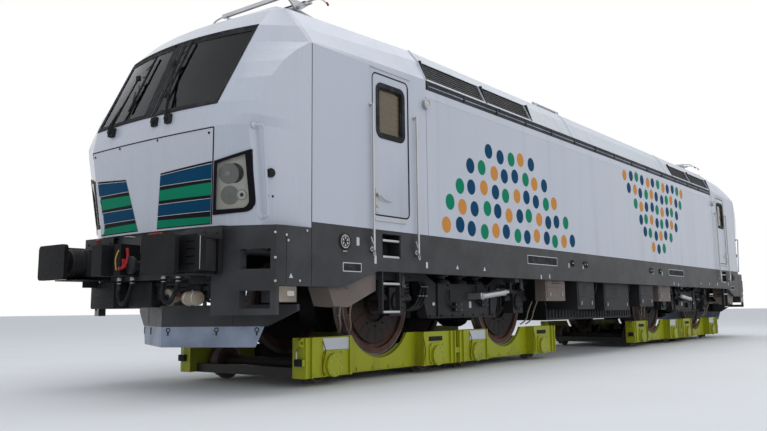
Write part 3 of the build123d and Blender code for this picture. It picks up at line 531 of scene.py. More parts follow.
def copy(piece, matrix):
    """A copy with its own mesh, moved by a matrix."""
    other = piece.copy()
    other.data = piece.data.copy()
    bpy.context.scene.collection.objects.link(other)
    other.data.transform(matrix)
    if matrix.determinant() < 0:
        other.data.flip_normals()
    return other


across_x = Matrix.Diagonal((-1, 1, 1, 1))
across_y = Matrix.Diagonal((1, -1, 1, 1))
half_turn = Matrix.Diagonal((-1, -1, 1, 1))


def moved(x=0, y=0, z=0):
    return Matrix.Translation((x / 1000, y / 1000, z / 1000))


def at_both_sides(pieces):
    return pieces + [copy(piece, across_y) for piece in pieces]


def at_both_ends(pieces):
    return pieces + [copy(piece, across_x) for piece in pieces]


def at_four_corners(pieces):
    return at_both_ends(at_both_sides(pieces))


def dress(piece, body, finish, slot=None, smooth=32.0):
    """Gives a piece its finish and the body it rides on; its slot in the record is not used."""
    piece.data.materials.clear()
    piece.data.materials.append(materials[finish])
    focus(piece)
    if smooth:
        bpy.ops.object.shade_smooth_by_angle(angle=radians(smooth))
    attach(piece, body)
    slot or finish
    return piece


def fit(name, parts, finish, slot=None, smooth=32.0):
    """Joins parts to one piece of the locomotive's own body and dresses it."""
    return dress(join(name, parts), "locomotive", finish, slot, smooth)


def flat_sheet(outline, x, step):
    """A flat sheet of small faces across x, cut to a convex outline of (y, z), all in metres."""
    deselect()
    (y0, y1), (z0, z1) = [(min(line), max(line)) for line in zip(*outline)]
    bpy.ops.mesh.primitive_grid_add(
        x_subdivisions=max(1, round((y1 - y0) / step)), y_subdivisions=max(1, round((z1 - z0) / step)), size=1,
        location=(x, (y0 + y1) / 2, (z0 + z1) / 2), rotation=(radians(90), 0.0, radians(90)))
    bpy.context.active_object.scale = (y1 - y0, z1 - z0, 1.0)
    piece = settle("sheet")
    bpy.ops.object.mode_set(mode="EDIT")
    for (u0, v0), (u1, v1) in zip(outline, outline[1:] + outline[:1]):
        bpy.ops.mesh.select_all(action="SELECT")
        bpy.ops.mesh.bisect(plane_co=(x, u0, v0), plane_no=(0.0, v1 - v0, u0 - u1), clear_outer=True, threshold=1e-6)
    bpy.ops.object.mode_set(mode="OBJECT")
    return piece


def own_copy(node, name):
    """A copy of a piece of the frame, in edit mode."""
    piece = copy(frame["nodes"][node], Matrix.Identity(4))
    piece.name = name
    focus(piece)
    bpy.ops.object.mode_set(mode="EDIT")
    bpy.ops.mesh.select_mode(type="VERT")
    return piece


def cut_away(piece, test):
    """Deletes a piece's vertices that pass a test, and stays in edit mode."""
    bpy.ops.mesh.select_all(action="DESELECT")
    bpy.ops.object.mode_set(mode="OBJECT")
    for vertex in piece.data.vertices:
        vertex.select = test(vertex.co)
    bpy.ops.object.mode_set(mode="EDIT")
    bpy.ops.mesh.delete(type="VERT")


def nose_form():
    """The front nose's outer form with its openings closed, to lay films on."""
    form = own_copy("noses", "nose_form")
    cut_away(form, lambda place: place.x < 0)
    bpy.ops.mesh.select_all(action="SELECT")
    bpy.ops.mesh.convex_hull()
    bpy.ops.object.mode_set(mode="OBJECT")
    return form


def skin(name, outline, form, proud=1.5, thick=2, step=50):
    """A thin film laid on the nose, cut to a convex outline of (y, height)."""
    piece = flat_sheet([(y / 1000, z / 1000 + rail) for y, z in outline], nose_x + 0.5, step / 1000)
    apply_modifier(piece, "SHRINKWRAP", target=form, wrap_method="PROJECT", use_project_x=True,
                   use_negative_direction=True, use_positive_direction=False, offset=proud / 1000)
    apply_modifier(piece, "SOLIDIFY", thickness=thick / 1000, offset=1.0)
    piece.name = name
    return piece


def sides_of(outline):
    """An outline's sides, each as its two corners."""
    return list(zip(outline, outline[1:] + outline[:1]))


def mirrored(outline):
    """An outline of (y, z) on the other side of the nose."""
    return [(-y, z) for y, z in reversed(outline)]


def rectangle(y0, y1, z0, z1):
    return [(y0, z0), (y1, z0), (y1, z1), (y0, z1)]


def line_quad(start, end, width):
    """A thin quad along a line from start to end."""
    (y0, z0), (y1, z1) = start, end
    length = ((y1 - y0) ** 2 + (z1 - z0) ** 2) ** 0.5
    ny, nz = -(z1 - z0) / length * width / 2, (y1 - y0) / length * width / 2
    return [(y0 - ny, z0 - nz), (y1 - ny, z1 - nz), (y1 + ny, z1 + nz), (y0 + ny, z0 + nz)]


# Stripes on the nose, columns: colour, bottom at the middle, top at the middle, bottom outside, top outside
nose_stripes = (
    ("blue", 1795, 1895, 1798, 1935),
    ("green", 1645, 1748, 1640, 1760),
    ("blue", 1495, 1602, 1493, 1604),
    ("green", 1372, 1449, 1372, 1436),
)
# The black ground under the stripes
ground_low = 1362
ground_high = 1921
ground_high_outside = 1964
panel_top = 2285


def inner_edge(z, side):
    """Where the white middle of the nose ends, at a height."""
    share = (z - ground_low) / (ground_high - ground_low)
    low, high = (150, 235) if side > 0 else (170, 365)
    return low + (high - low) * share


def outer_edge(z):
    """Where the front panel ends, at a height."""
    return 905 + (z - 1364) * 0.112


def stripe_outline(z_in_low, z_in_high, z_out_low, z_out_high, side):
    outline = [(inner_edge(z_in_low, side), z_in_low), (outer_edge(z_out_low), z_out_low),
               (outer_edge(z_out_high), z_out_high), (inner_edge(z_in_high, side), z_in_high)]
    return outline if side > 0 else mirrored(outline)


class Parts(list):
    """Pieces that will be joined. Each method makes one more of its form."""

    def block(self, *values):
        self.append(block(*values))

    def rod(self, *values):
        self.append(rod(*values))

    def ring(self, *values):
        self.append(ring(*values))

    def tube(self, *values):
        self.append(tube(*values))

    def plate(self, *values):
        self.append(round_plate(*values))

    def skin(self, *values):
        self.append(skin(*values))


def part_lists(count):
    return [Parts() for _ in range(count)]


class LOCOMOTIVE_OT_nose_stripes(bpy.types.Operator):
    """Adds the blue and green stripes on their black ground, and the front panel's joints and screws."""

    bl_idname = "locomotive.nose_stripes"
    bl_label = "Nose stripes"

    def execute(self, context):
        nose = nose_form()
        films = {color: Parts() for color in ("black", "blue", "green", "plate_white")}
        for side in (1, -1):
            ground = stripe_outline(ground_low, ground_high, ground_low, ground_high_outside, side)
            films["black"].skin("ground", ground, nose, 1.5, 1.5)
            for color, *heights in nose_stripes:
                films[color].skin("stripe", stripe_outline(*heights, side), nose, 3, 1.5)
                if color == "blue":
                    in_low, in_high, out_low, out_high = heights
                    for low, high in ((-7.5, -3), (3, 7.5)):
                        edges = (in_high + low, in_high + high, out_high + low, out_high + high)
                        if low < 0:
                            edges = (in_low + low, in_low + high, out_low + low, out_low + high)
                        films["plate_white"].skin("pinstripe", stripe_outline(*edges, side), nose, 3.2, 1)
            edge = line_quad((outer_edge(ground_low) + 12, ground_low), (outer_edge(panel_top) + 12, panel_top), 11)
            films["black"].skin("joint", edge if side > 0 else mirrored(edge), nose, 1, 2)
        half = outer_edge(panel_top) + 12
        joint = rectangle(-half, half, panel_top - 5, panel_top + 6)
        films["black"].skin("joint", joint, nose, 1, 2)
        for color, parts in films.items():
            fit(f"nose_stripes_{color}", at_both_ends(parts), color, "nose_white")
        screws = Parts()
        for y, z in ((955, 2237), (200, 2262), (-460, 2262), (-965, 2237)):
            outline = [(y + 12 * cos(pi * n / 4), z + 12 * sin(pi * n / 4)) for n in range(8)]
            screws.skin("screw", outline, nose, 2.5, 3)
        bpy.data.objects.remove(nose)
        fit("nose_panel_screws", at_both_ends(screws), "black", "nose_white")
        return {"FINISHED"}


class LOCOMOTIVE_OT_lamp_bezels(bpy.types.Operator):
    """Adds the black frames round the headlight units."""

    bl_idname = "locomotive.lamp_bezels"
    bl_label = "Headlight frames"

    def execute(self, context):
        nose = nose_form()
        outer = [(940, 1448), (1235, 1470), (1285, 1492), (1318, 1535), (1328, 1600), (1342, 2058), (998, 1962)]
        inner = [(972, 1497), (1215, 1510), (1248, 1528), (1268, 1560), (1273, 1600), (1283, 2012), (1022, 1938)]
        frames = Parts()
        for (o0, o1), (i0, i1) in zip(sides_of(outer), sides_of(inner)):
            frames.skin("bezel", [o0, o1, i1, i0], nose, 2, 8, 30)
        bpy.data.objects.remove(nose)
        fit("headlight_bezels", at_four_corners(frames), "black", "lamp_housing")
        return {"FINISHED"}


class LOCOMOTIVE_OT_screen_seals(bpy.types.Operator):
    """Adds the black borders and the centre strip of the windscreens."""

    bl_idname = "locomotive.screen_seals"
    bl_label = "Windscreen seals"

    def execute(self, context):
        nose = nose_form()
        low, high = 2545, 3440
        sunk = -5.5
        half_low, half_high = 1000, 1050
        outer = [(-half_low - 16, low - 16), (half_low + 16, low - 16),
                 (half_high + 16, high + 16), (-half_high - 16, high + 16)]
        edge = [(-half_low, low), (half_low, low), (half_high, high), (-half_high, high)]
        inner = [(-half_low + 22, low + 38), (half_low - 22, low + 38),
                 (half_high - 22, high - 55), (-half_high + 22, high - 55)]
        seals = Parts()
        for (o0, o1), (e0, e1), (i0, i1) in zip(sides_of(outer), sides_of(edge), sides_of(inner)):
            seals.skin("seal", [o0, o1, e1, e0], nose, 1, 5)
            seals.skin("border", [e0, e1, i1, i0], nose, sunk, 2)
        seals.skin("post", rectangle(-46, 46, low, high), nose, 1, 4)
        for side in (1, -1):
            y0, y1 = sorted((side * 46, side * 100))
            seals.skin("border", rectangle(y0, y1, low, high), nose, sunk, 2)
        bpy.data.objects.remove(nose)
        fit("windscreen_seals", at_both_ends(seals), "wiper_black")
        return {"FINISHED"}


# Wiper arms, columns: y of the pivot, y and height of the tip
wiper_arms = ((354, 112, 3154), (-630, -500, 3100))


def screen_x(z, y):
    """The windscreen's front at a height over the rail."""
    share = (z - 2540) / (3250 - 2540)
    return 9006 - 306 * share - 60 * (abs(y) / 1020) ** 2


class LOCOMOTIVE_OT_wipers(bpy.types.Operator):
    """Adds the wipers: motor boxes, sprung arms and blades on the windscreens."""

    bl_idname = "locomotive.wipers"
    bl_label = "Wipers"

    def execute(self, context):
        parts = Parts()
        for y in (354, 135, -630):
            parts.block("box", (8975, y - 45, 2415), (9045, y + 45, 2515), 12)
            parts.rod("cap", (9030, y, 2465), (9062, y, 2465), 26, 20, 4)
        for base_y, tip_y, tip_z in wiper_arms:
            base = Vector((9055, base_y, 2465))
            tip = Vector((screen_x(tip_z, tip_y) + 45, tip_y, tip_z))
            parts.rod("arm", base, tip, 14, 10, 0, 9)
            knee = base.lerp(tip, 0.45)
            parts.rod("spring", base + Vector((20, 12, 30)), knee + Vector((18, 12, 0)), 7, 8)
            parts.block("joint", tip - Vector((12, 30, 30)), tip + Vector((18, 30, 30)), 6)
            lean = 100
            low = Vector((screen_x(tip_z - 420, tip_y) + 20, tip_y + lean * 0.7, tip_z - 420))
            high = Vector((screen_x(tip_z + 260, tip_y) + 20, tip_y + lean * 1.3, tip_z + 260))
            parts.rod("blade", low, high, 11, 8)
            parts.rod("rubber", low - Vector((10, 0, 0)), high - Vector((10, 0, 0)), 6, 6)
            for share in (0.15, 0.38, 0.62, 0.85):
                at = low.lerp(high, share)
                parts.rod("bow", at + Vector((6, 0, 0)), tip.lerp(at, 0.55), 6, 8)
        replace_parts(fit("wiper_sets", at_both_ends(parts), "wiper_black"), "wipers")
        return {"FINISHED"}


class LOCOMOTIVE_OT_nose_rails(bpy.types.Operator):
    """Adds the handrail, the round socket and the small locks on each side of the nose."""

    bl_idname = "locomotive.nose_rails"
    bl_label = "Nose handrails"

    def execute(self, context):
        path = ((8785, 1335, 2288), (8775, 1400, 2288), (8730, 1425, 2288),
                (8722, 1425, 2240), (8640, 1412, 1470), (8634, 1410, 1430),
                (8640, 1385, 1424), (8650, 1325, 1424))
        bar = tube("bar", path, 15)
        feet = [rod("foot", (8784, 1345, 2288), (8790, 1372, 2288), 30, 20, 4),
                rod("foot", (8650, 1330, 1424), (8655, 1352, 1424), 30, 20, 4)]
        fit("nose_handrails", at_four_corners([bar] + feet), "body_white", "body_white")
        outward = Vector((0.27, 0.96, -0.04)).normalized()
        centre = Vector((8586, 1381, 1848))
        knob = rod("socket", centre - outward * 20, centre + outward * 28, 45, 28, 5)
        dot = rod("cap", centre + outward * 24, centre + outward * 36, 30, 24, 3)
        locks = Parts()
        for x in (8600, 8550):
            spot = Vector((x, 1372 + (8586 - x) * 0.26, 1625))
            locks.rod("lock", spot - outward * 10, spot + outward * 6, 12, 14, 2)
        fit("nose_sockets", at_four_corners([knob, dot] + locks), "wiper_black", "hose_rubber")
        return {"FINISHED"}


def corner_arcs(x0, x1, z0, z1, radius, steps=5):
    """A rectangle's outline with round corners."""
    points = Parts()
    for x, z, start in ((x1, z0, -90), (x1, z1, 0), (x0, z1, 90), (x0, z0, 180)):
        middle_x = x - radius if x == x1 else x + radius
        middle_z = z - radius if z == z1 else z + radius
        for step in range(steps + 1):
            angle = radians(start + 90 * step / steps)
            points.append((middle_x + radius * cos(angle), middle_z + radius * sin(angle)))
    return points


def round_plate(name, outer, thick, y, edge=1, hole=None):
    """A flat plate on the left side with round corners, open inside a second outline if one is given."""
    curve = bpy.data.curves.new(name, "CURVE")
    curve.dimensions = "2D"
    curve.fill_mode = "BOTH"
    curve.extrude = (thick / 2 - edge) / 1000
    curve.bevel_depth = edge / 1000
    curve.bevel_resolution = 1
    for outline in [outer] + ([hole] if hole else []):
        points = corner_arcs(*outline)
        spline = curve.splines.new("POLY")
        spline.points.add(len(points) - 1)
        for point, (x, z) in zip(spline.points, points):
            point.co = (x / 1000, rail + z / 1000, 0.0, 1.0)
        spline.use_cyclic_u = True
    piece = mesh_of(name, curve)
    piece.location = (0.0, (y + thick / 2) / 1000, 0.0)
    piece.rotation_euler = (radians(90), 0.0, 0.0)
    return settle(name)


# Rows of dots on the walls, columns: front x, height over the rail, how many
dot_rows = (
    (5700, 1565, 13), (5620, 1840, 12), (5380, 2110, 10), (5100, 2380, 8), (4600, 2640, 5),
    (-440, 3000, 12), (-620, 2740, 11), (-920, 2480, 9), (-1160, 2220, 8), (-1360, 1960, 6), (-1800, 1700, 3),
)
dot_pitch = 305
dot_radius = 102
dot_colors = ("orange", "blue", "blue", "green", "orange", "blue", "green", "blue", "orange", "blue", "green")


class LOCOMOTIVE_OT_side_dots(bpy.types.Operator):
    """Adds two plain fields of coloured dots to each side wall."""

    bl_idname = "locomotive.side_dots"
    bl_label = "Side dots"

    def execute(self, context):
        fields = {color: Parts() for color in ("orange", "blue", "green")}
        first = rod("dot", (0, side_y - 0.8, 0), (0, side_y + 1.2, 0), dot_radius, 36, 0.6)
        for row, (start, z, count) in enumerate(dot_rows):
            for spot in range(count):
                color = dot_colors[(spot + 3 * row) % len(dot_colors)]
                x = start - spot * dot_pitch - 16 * sin(2.3 * spot + row)
                lift = 24 * sin(1.7 * spot + 2.2 * row)
                fields[color].append(copy(first, moved(x, 0, z + lift)))
        bpy.data.objects.remove(first)
        for color, dots in fields.items():
            near = join(f"side_dots_{color}", dots)
            far = copy(near, half_turn)
            fit(f"side_dots_{color}", [near, far], color, "body_white", 0)
        return {"FINISHED"}


# The cab door's opening and its window, columns: start x, end x, bottom, top over the rail, corner
door_edge = (6474, 7161, 1559, 3183, 75)
door_pane = (6570, 7071, 2459, 3061, 75)


def grown(outline, grow):
    """An outline made larger all round."""
    x0, x1, z0, z1, radius = outline
    return (x0 - grow, x1 + grow, z0 - grow, z1 + grow, radius + grow)


class LOCOMOTIVE_OT_doors(bpy.types.Operator):
    """Adds the smooth door leaves, their window rubbers and latches, and the seals and sills round them."""

    bl_idname = "locomotive.doors"
    bl_label = "Cab doors"

    def execute(self, context):
        trim = round_plate("trim", grown(door_edge, 34)[:4] + (20,), 1.6, side_y - 0.2, 0.5, door_edge)
        seal = round_plate("seal", grown(door_edge, 2), 3, side_y, 1, grown(door_edge, -13))
        drip = block("drip", (6440, side_y, 3228), (7195, side_y + 12, 3236), 2)
        sill = block("sill", (6560, side_y, 1498), (7120, side_y + 10, 1522), 3)
        fit("door_trims", at_four_corners([trim, drip]), "body_white", "body_white")
        fit("door_seals", at_four_corners([seal]), "wiper_black")
        fit("door_sills", at_four_corners([sill]), "rail_steel")
        rubber = round_plate("rubber", grown(door_pane, 18), 12, side_y - 3, 4, grown(door_pane, -34))
        inner = round_plate("inner", grown(door_pane, -28), 20, side_y - 26, 4, grown(door_pane, -46))
        hatch = round_plate("hatch", (7058, 7112, 1595, 1860, 12), 8, side_y - 1, 2)
        boss = rod("boss", (7086, side_y, 1790), (7086, side_y + 38, 1790), 21, 20, 3)
        lever = tube("lever", ((7086, side_y + 30, 1790), (7050, side_y + 36, 1775),
                               (7000, side_y + 36, 1735), (6860, side_y + 34, 1728)), 10)
        lock = rod("lock", (7086, side_y, 1660), (7086, side_y + 16, 1660), 17, 20, 3)
        slot = block("slot", (7083, side_y + 14, 1650), (7089, side_y + 18, 1670))
        parts = {"frame": [rubber, inner], "latch": [hatch, boss, lever, lock, slot], "blind": door_blind()}
        ready = {key: join(key, pieces) for key, pieces in parts.items()}
        for end, turn in (("front", 1), ("rear", -1)):
            for side, way in (("left", 1), ("right", -1)):
                place = Matrix.Diagonal((turn, way, 1, 1))
                body = f"cab_door_{end}_{side}"
                dress(copy(ready["frame"], place), body, "wiper_black").name = f"door_rubber_{end}_{side}"
                dress(copy(ready["latch"], place), body, "rail_steel").name = f"door_latch_{end}_{side}"
                dress(copy(ready["blind"], place), body, "blind", "cab_plastic").name = f"door_blind_{end}_{side}"
                leaf = smooth_leaf(f"door_{end}_{side}", way)
                dress(leaf, body, "body_white", "body_white")
                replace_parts(leaf, f"door_{end}_{side}")
        for piece in ready.values():
            bpy.data.objects.remove(piece)
        return {"FINISHED"}


def door_blind():
    """The rolled blind behind a door's pane, with its folds and bottom bar."""
    x0, x1, z0, z1 = door_pane[:4]
    parts = Parts([block("blind", (x0 - 20, 1462, z0 - 20), (x1 + 20, 1468, z1 + 20), 2)])
    for n in range(1, 9):
        z = z0 + (z1 - z0) * n / 9
        parts.block("fold", (x0 - 15, 1466, z - 3), (x1 + 15, 1470.5, z + 3), 1)
    return parts


def smooth_leaf(node, way):
    """The door's own leaf without its grip."""
    leaf = own_copy(node, node.replace("door", "leaf"))
    bpy.ops.mesh.select_all(action="SELECT")
    bpy.ops.mesh.remove_doubles(threshold=1e-5)
    cut_away(leaf, lambda place: way * place.y > side_y / 1000 + 0.0005)
    bpy.ops.mesh.select_non_manifold()
    bpy.ops.mesh.fill_holes(sides=0)
    bpy.ops.object.mode_set(mode="OBJECT")
    return leaf


# Small bare plates on the sill, columns: middle x, height over the rail, width, height
sill_plates = ((7418, 1252, 45, 85), (7122, 1072, 36, 85), (6143, 1049, 36, 70),
               (3180, 985, 30, 60), (-1660, 1190, 30, 70), (-2200, 1190, 30, 70), (-2900, 1000, 28, 60))
# Bare plates in a thin frame, columns: start x, end x, bottom, top
framed_plates = ((7362, 7663, 930, 1024), (2620, 3590, 1165, 1292))
# Round screw caps on the sill, columns: x, height, radius
sill_caps = ((2080, 1230, 55), (1610, 1230, 50), (-1515, 1230, 55), (-2060, 1230, 50))


class LOCOMOTIVE_OT_sill_fittings(bpy.types.Operator):
    """Adds the filler caps, bare plates, lifting marks, step edges and seams of the sills and walls."""

    bl_idname = "locomotive.sill_fittings"
    bl_label = "Sill fittings"

    def execute(self, context):
        white, dark, bright = part_lists(3)
        y = side_y
        for x, z, wide, tall in sill_plates:
            white.plate("plate", (x - wide / 2, x + wide / 2, z - tall / 2, z + tall / 2, 4), 2, y - 0.4, 0.6)
        for x0, x1, z0, z1 in framed_plates:
            outer = (x0, x1, z0, z1, 6)
            hole = (x0 + 8, x1 - 8, z0 + 8, z1 - 8, 4)
            white.plate("border", outer, 2, y - 0.4, 0.6, hole)
            dark.plate("field", hole, 1.6, y - 0.6, 0.5)
        for x in (5473, 4811):
            white.rod("mark", (x, y - 0.5, 1042), (x, y + 1.4, 1042), 34, 3, 0.4)
        for x, z, radius in sill_caps:
            dark.rod("cap", (x, y - 1, z), (x, y + 12, z), radius, 32, 4)
            bright.rod("screw", (x, y + 8, z), (x, y + 15, z), 12, 6, 1)
        filler_x, filler_z = 7634, 1240
        dark.ring("rim", (filler_x, y + 6, filler_z), (0, 1, 0), 79, 11, 40)
        for angle in (0, 60, 120):
            lean = moved(filler_x, y + 14, filler_z - ground) @ Matrix.Rotation(radians(angle), 4, "Y")
            rib = block("rib", (-52, -4, ground - 6), (52, 4, ground + 6), 2)
            rib.data.transform(lean)
            dark.append(rib)
        dark.ring("groove", (filler_x, y + 12.5, filler_z), (0, 1, 0), 55, 4, 40)
        bright.block("hasp", (filler_x - 30, y, filler_z - 108), (filler_x + 35, y + 10, filler_z - 97), 3)
        for x, z in ((8485, 1251), (8460, 1200), (8300, 820), (8200, 1310)):
            bright.rod("screw", (x, y - 1, z), (x, y + 6, z), 13, 12, 2)
        white.rod("mark", (8420, y - 0.5, 860), (8420, y + 1.4, 860), 30, 3, 0.4)
        dark.block("seam", (8480, y - 1, 785), (8488, y + 1.2, 1247))
        dark.block("seam", (8130, y - 1, 780), (8138, y + 1.2, 3245))
        dark.block("seam", (6098, y - 1, 1405), (6102, y + 0.8, 3110))
        for z in (1303, 1122, 827, 520):
            low_x, high_x = (6680, 6980)
            bright.block("edge", (low_x, y - 20, z - 22), (high_x, y - 4, z + 3), 3)
            for spot in range(6):
                ridge_x = low_x + 30 + spot * 48
                bright.block("ridge", (ridge_x, y - 140, z), (ridge_x + 14, y - 30, z + 3), 1)
        for x in (7190, 6360):
            dark.plate("foot", (x - 22, x + 22, 1140, 1210, 12), 8, y - 1, 2)
            bright.tube("hook", ((x, y + 43, 1225), (x + 20, y + 45, 1235), (x + 45, y + 46, 1270),
                                 (x + 60, y + 46, 1310)), 8)
            bright.tube("loop", ((x, y + 43, 1170), (x - 18, y + 50, 1120), (x + 12, y + 50, 1085),
                                 (x + 20, y + 45, 1150)), 6)
            for z in (1185, 2785):
                bright.rod("foot", (x, y, z), (x, y + 8, z), 28, 20, 2)
        fit("sill_plates", at_four_corners(white), "plate_white", "body_white")
        fit("sill_caps", at_four_corners(dark), "wiper_black")
        fit("sill_brights", at_four_corners(bright), "rail_steel")
        return {"FINISHED"}


class LOCOMOTIVE_OT_wall_rails(bpy.types.Operator):
    """Adds a pale line at the walls' bend as a painted highlight, the broken rails in the dark band under the roof and
    the lamps beside the doors.
    """

    bl_idname = "locomotive.wall_rails"
    bl_label = "Wall rails"

    def execute(self, context):
        y = side_y
        # Painted highlight: a pale strip in the roof's lighter paint along the walls' bend, where light catches the
        # edge.
        trim = block("trim", (-6100, y - 3, 3098), (6100, y + 2.2, 3108), 1)
        fit("wall_trims", at_both_sides([trim]), "roof_white", "body_white")
        grey, dark = part_lists(2)
        count = 14
        pitch = 12100 / count
        for spot in range(count):
            x = -6050 + spot * pitch
            grey.block("rail", (x + 30, y - 18, 3252), (x + pitch - 30, y - 6, 3266), 3)
            dark.block("clip", (x + pitch - 20, y - 18, 3222), (x + pitch + 20, y - 2, 3300), 4)
            for step in range(6):
                slot_x = x + 100 + step * 120
                dark.block("slat", (slot_x, y - 18, 3275), (slot_x + 85, y - 10, 3288), 2)
        fit("band_rails", at_both_sides(grey), "blade_grey", "louvre_black")
        fit("band_clips", at_both_sides(dark), "louvre_black")
        deselect()
        bpy.ops.mesh.primitive_uv_sphere_add(segments=28, ring_count=14, radius=0.052, location=at((6130, y + 4, 3000)))
        dome = settle("dome")
        collar = ring("collar", (6130, y + 46, 3000), (0, 1, 0), 56, 6, 36)
        fit("door_lamp_domes", at_four_corners([dome]), "lamp_white", "lamp_housing")
        fit("door_lamp_collars", at_four_corners([collar]), "rail_steel")
        return {"FINISHED"}


def coil(name, centre, low, high, radius, wire, turns):
    """A coil spring with closed ends, standing on its lower seat."""
    points = Parts()
    steps = 14
    total = turns * steps
    for step in range(total + 1):
        share = step / total
        angle = 2 * pi * turns * share
        rise = min(max((share - 0.08) / 0.84, 0.0), 1.0)
        z = low + wire + (high - low - 2 * wire) * rise
        points.append((centre[0] + radius * cos(angle), centre[1] + radius * sin(angle), z))
    return tube(name, points, wire, 2)


class LOCOMOTIVE_OT_springs(bpy.types.Operator):
    """Adds the coil springs at the axle boxes and under the body, with their seats and rubber cores."""

    bl_idname = "locomotive.springs"
    bl_label = "Springs"

    def execute(self, context):
        parts = Parts()
        for x in (-1740, -1260, 1260, 1740):
            parts.append(coil("coil", (x, 1050), 705, 872, 64, 14, 4))
            parts.rod("core", (x, 1050, 700), (x, 1050, 875), 38, 20, 4)
            for z in (695, 868):
                parts.rod("seat", (x, 1050, z), (x, 1050, z + 12), 84, 28, 3)
        for x in (-420, 0, 420):
            parts.append(coil("coil", (x, 1050), 875, 1285, 94, 19, 5))
            parts.rod("core", (x, 1050, 870), (x, 1050, 1290), 58, 24, 4)
            for z in (860, 1282):
                parts.rod("seat", (x, 1050, z), (x, 1050, z + 18), 122, 32, 4)
        sets = join("spring_set", at_both_sides(parts))
        for name, side in bogies:
            own = copy(sets, moved(side * bogie_x))
            own.name = f"coil_springs_{name}"
            dress(own, f"bogie_{name}", "spring_black")
            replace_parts(own, f"springs_{name}")
        bpy.data.objects.remove(sets)
        return {"FINISHED"}


def lamp_spot(y, z, depth):
    """A point behind the nose's slope at the headlights, and the slope's outward direction."""
    def slope_x(y, z):
        share = (z - 1345) / 955
        post = (8134 + 766 * (1.004 + 0.113 * share), 914 + 106 * share)
        crease = (8134 + 766 * (0.706 + 0.213 * share), 1330 + 10 * share)
        return post[0] + (crease[0] - post[0]) * (y - post[1]) / (crease[1] - post[1])

    here = slope_x(y, z)
    normal = Vector((1.0, (here - slope_x(y + 10, z)) / 10, (here - slope_x(y, z + 10)) / 10)).normalized()
    return Vector((here - depth, y, z)), normal


class LOCOMOTIVE_OT_headlights(bpy.types.Operator):
    """Adds the fluted reflectors, rings and bulbs of the headlight units, and a dark disc whose crescent beside the
    upper reflector is painted shade.
    """

    bl_idname = "locomotive.headlights"
    bl_label = "Headlights"

    def execute(self, context):
        discs, rims, bulbs, darks = part_lists(4)

        def disc(parts, y, z, radius, depth, thick, kind="disc"):
            centre, normal = lamp_spot(y, z, depth)
            parts.rod(kind, centre - normal * thick, centre, radius, 44, min(3, thick / 3))

        for y, z, radius in ((1095, 1841, 98), (1085, 1636, 90)):
            disc(discs, y, z, radius, 29, 3)
            centre, normal = lamp_spot(y, z, 28.8)
            for share in (1.0, 0.82, 0.64, 0.46):
                rims.ring("flute", centre, normal, radius * share, 2.2 if share < 1 else 3, 44)
        # Painted shade: a dark disc behind the upper reflector, set off towards the outside so that a dark crescent
        # shows.
        disc(darks, 1143, 1843, 96, 31.2, 2, "shade")
        disc(rims, 1190, 1635, 54, 27.5, 6, "projector")
        disc(bulbs, 1190, 1635, 42, 26.8, 4, "reflector")
        disc(darks, 1192, 1635, 20, 26.2, 4, "pupil")
        disc(rims, 1085, 1842, 26, 27.8, 4, "bulb")
        fit("headlight_rims", at_four_corners(rims), "lamp_grey", "lamp_housing")
        fit("headlight_discs", at_four_corners(discs), "mirror", "lamp_housing")
        fit("headlight_bulbs", at_four_corners(bulbs), "lamp_white", "lamp_housing")
        fit("headlight_darks", at_four_corners(darks), "wiper_black")
        return {"FINISHED"}


def bolts(places, start, end, radius=11, sides=6):
    """Bolt heads that stand out along y between two depths, at (x, z) places."""
    first = rod("bolt", (0, start, 0), (0, end, 0), radius, sides, radius * 0.14)
    heads = Parts(copy(first, moved(x, 0, z)) for x, z in places)
    bpy.data.objects.remove(first)
    return heads


def round_places(x, z, radius, count, first=0.0):
    return [(x + radius * cos(first + 2 * pi * n / count), z + radius * sin(first + 2 * pi * n / count))
            for n in range(count)]


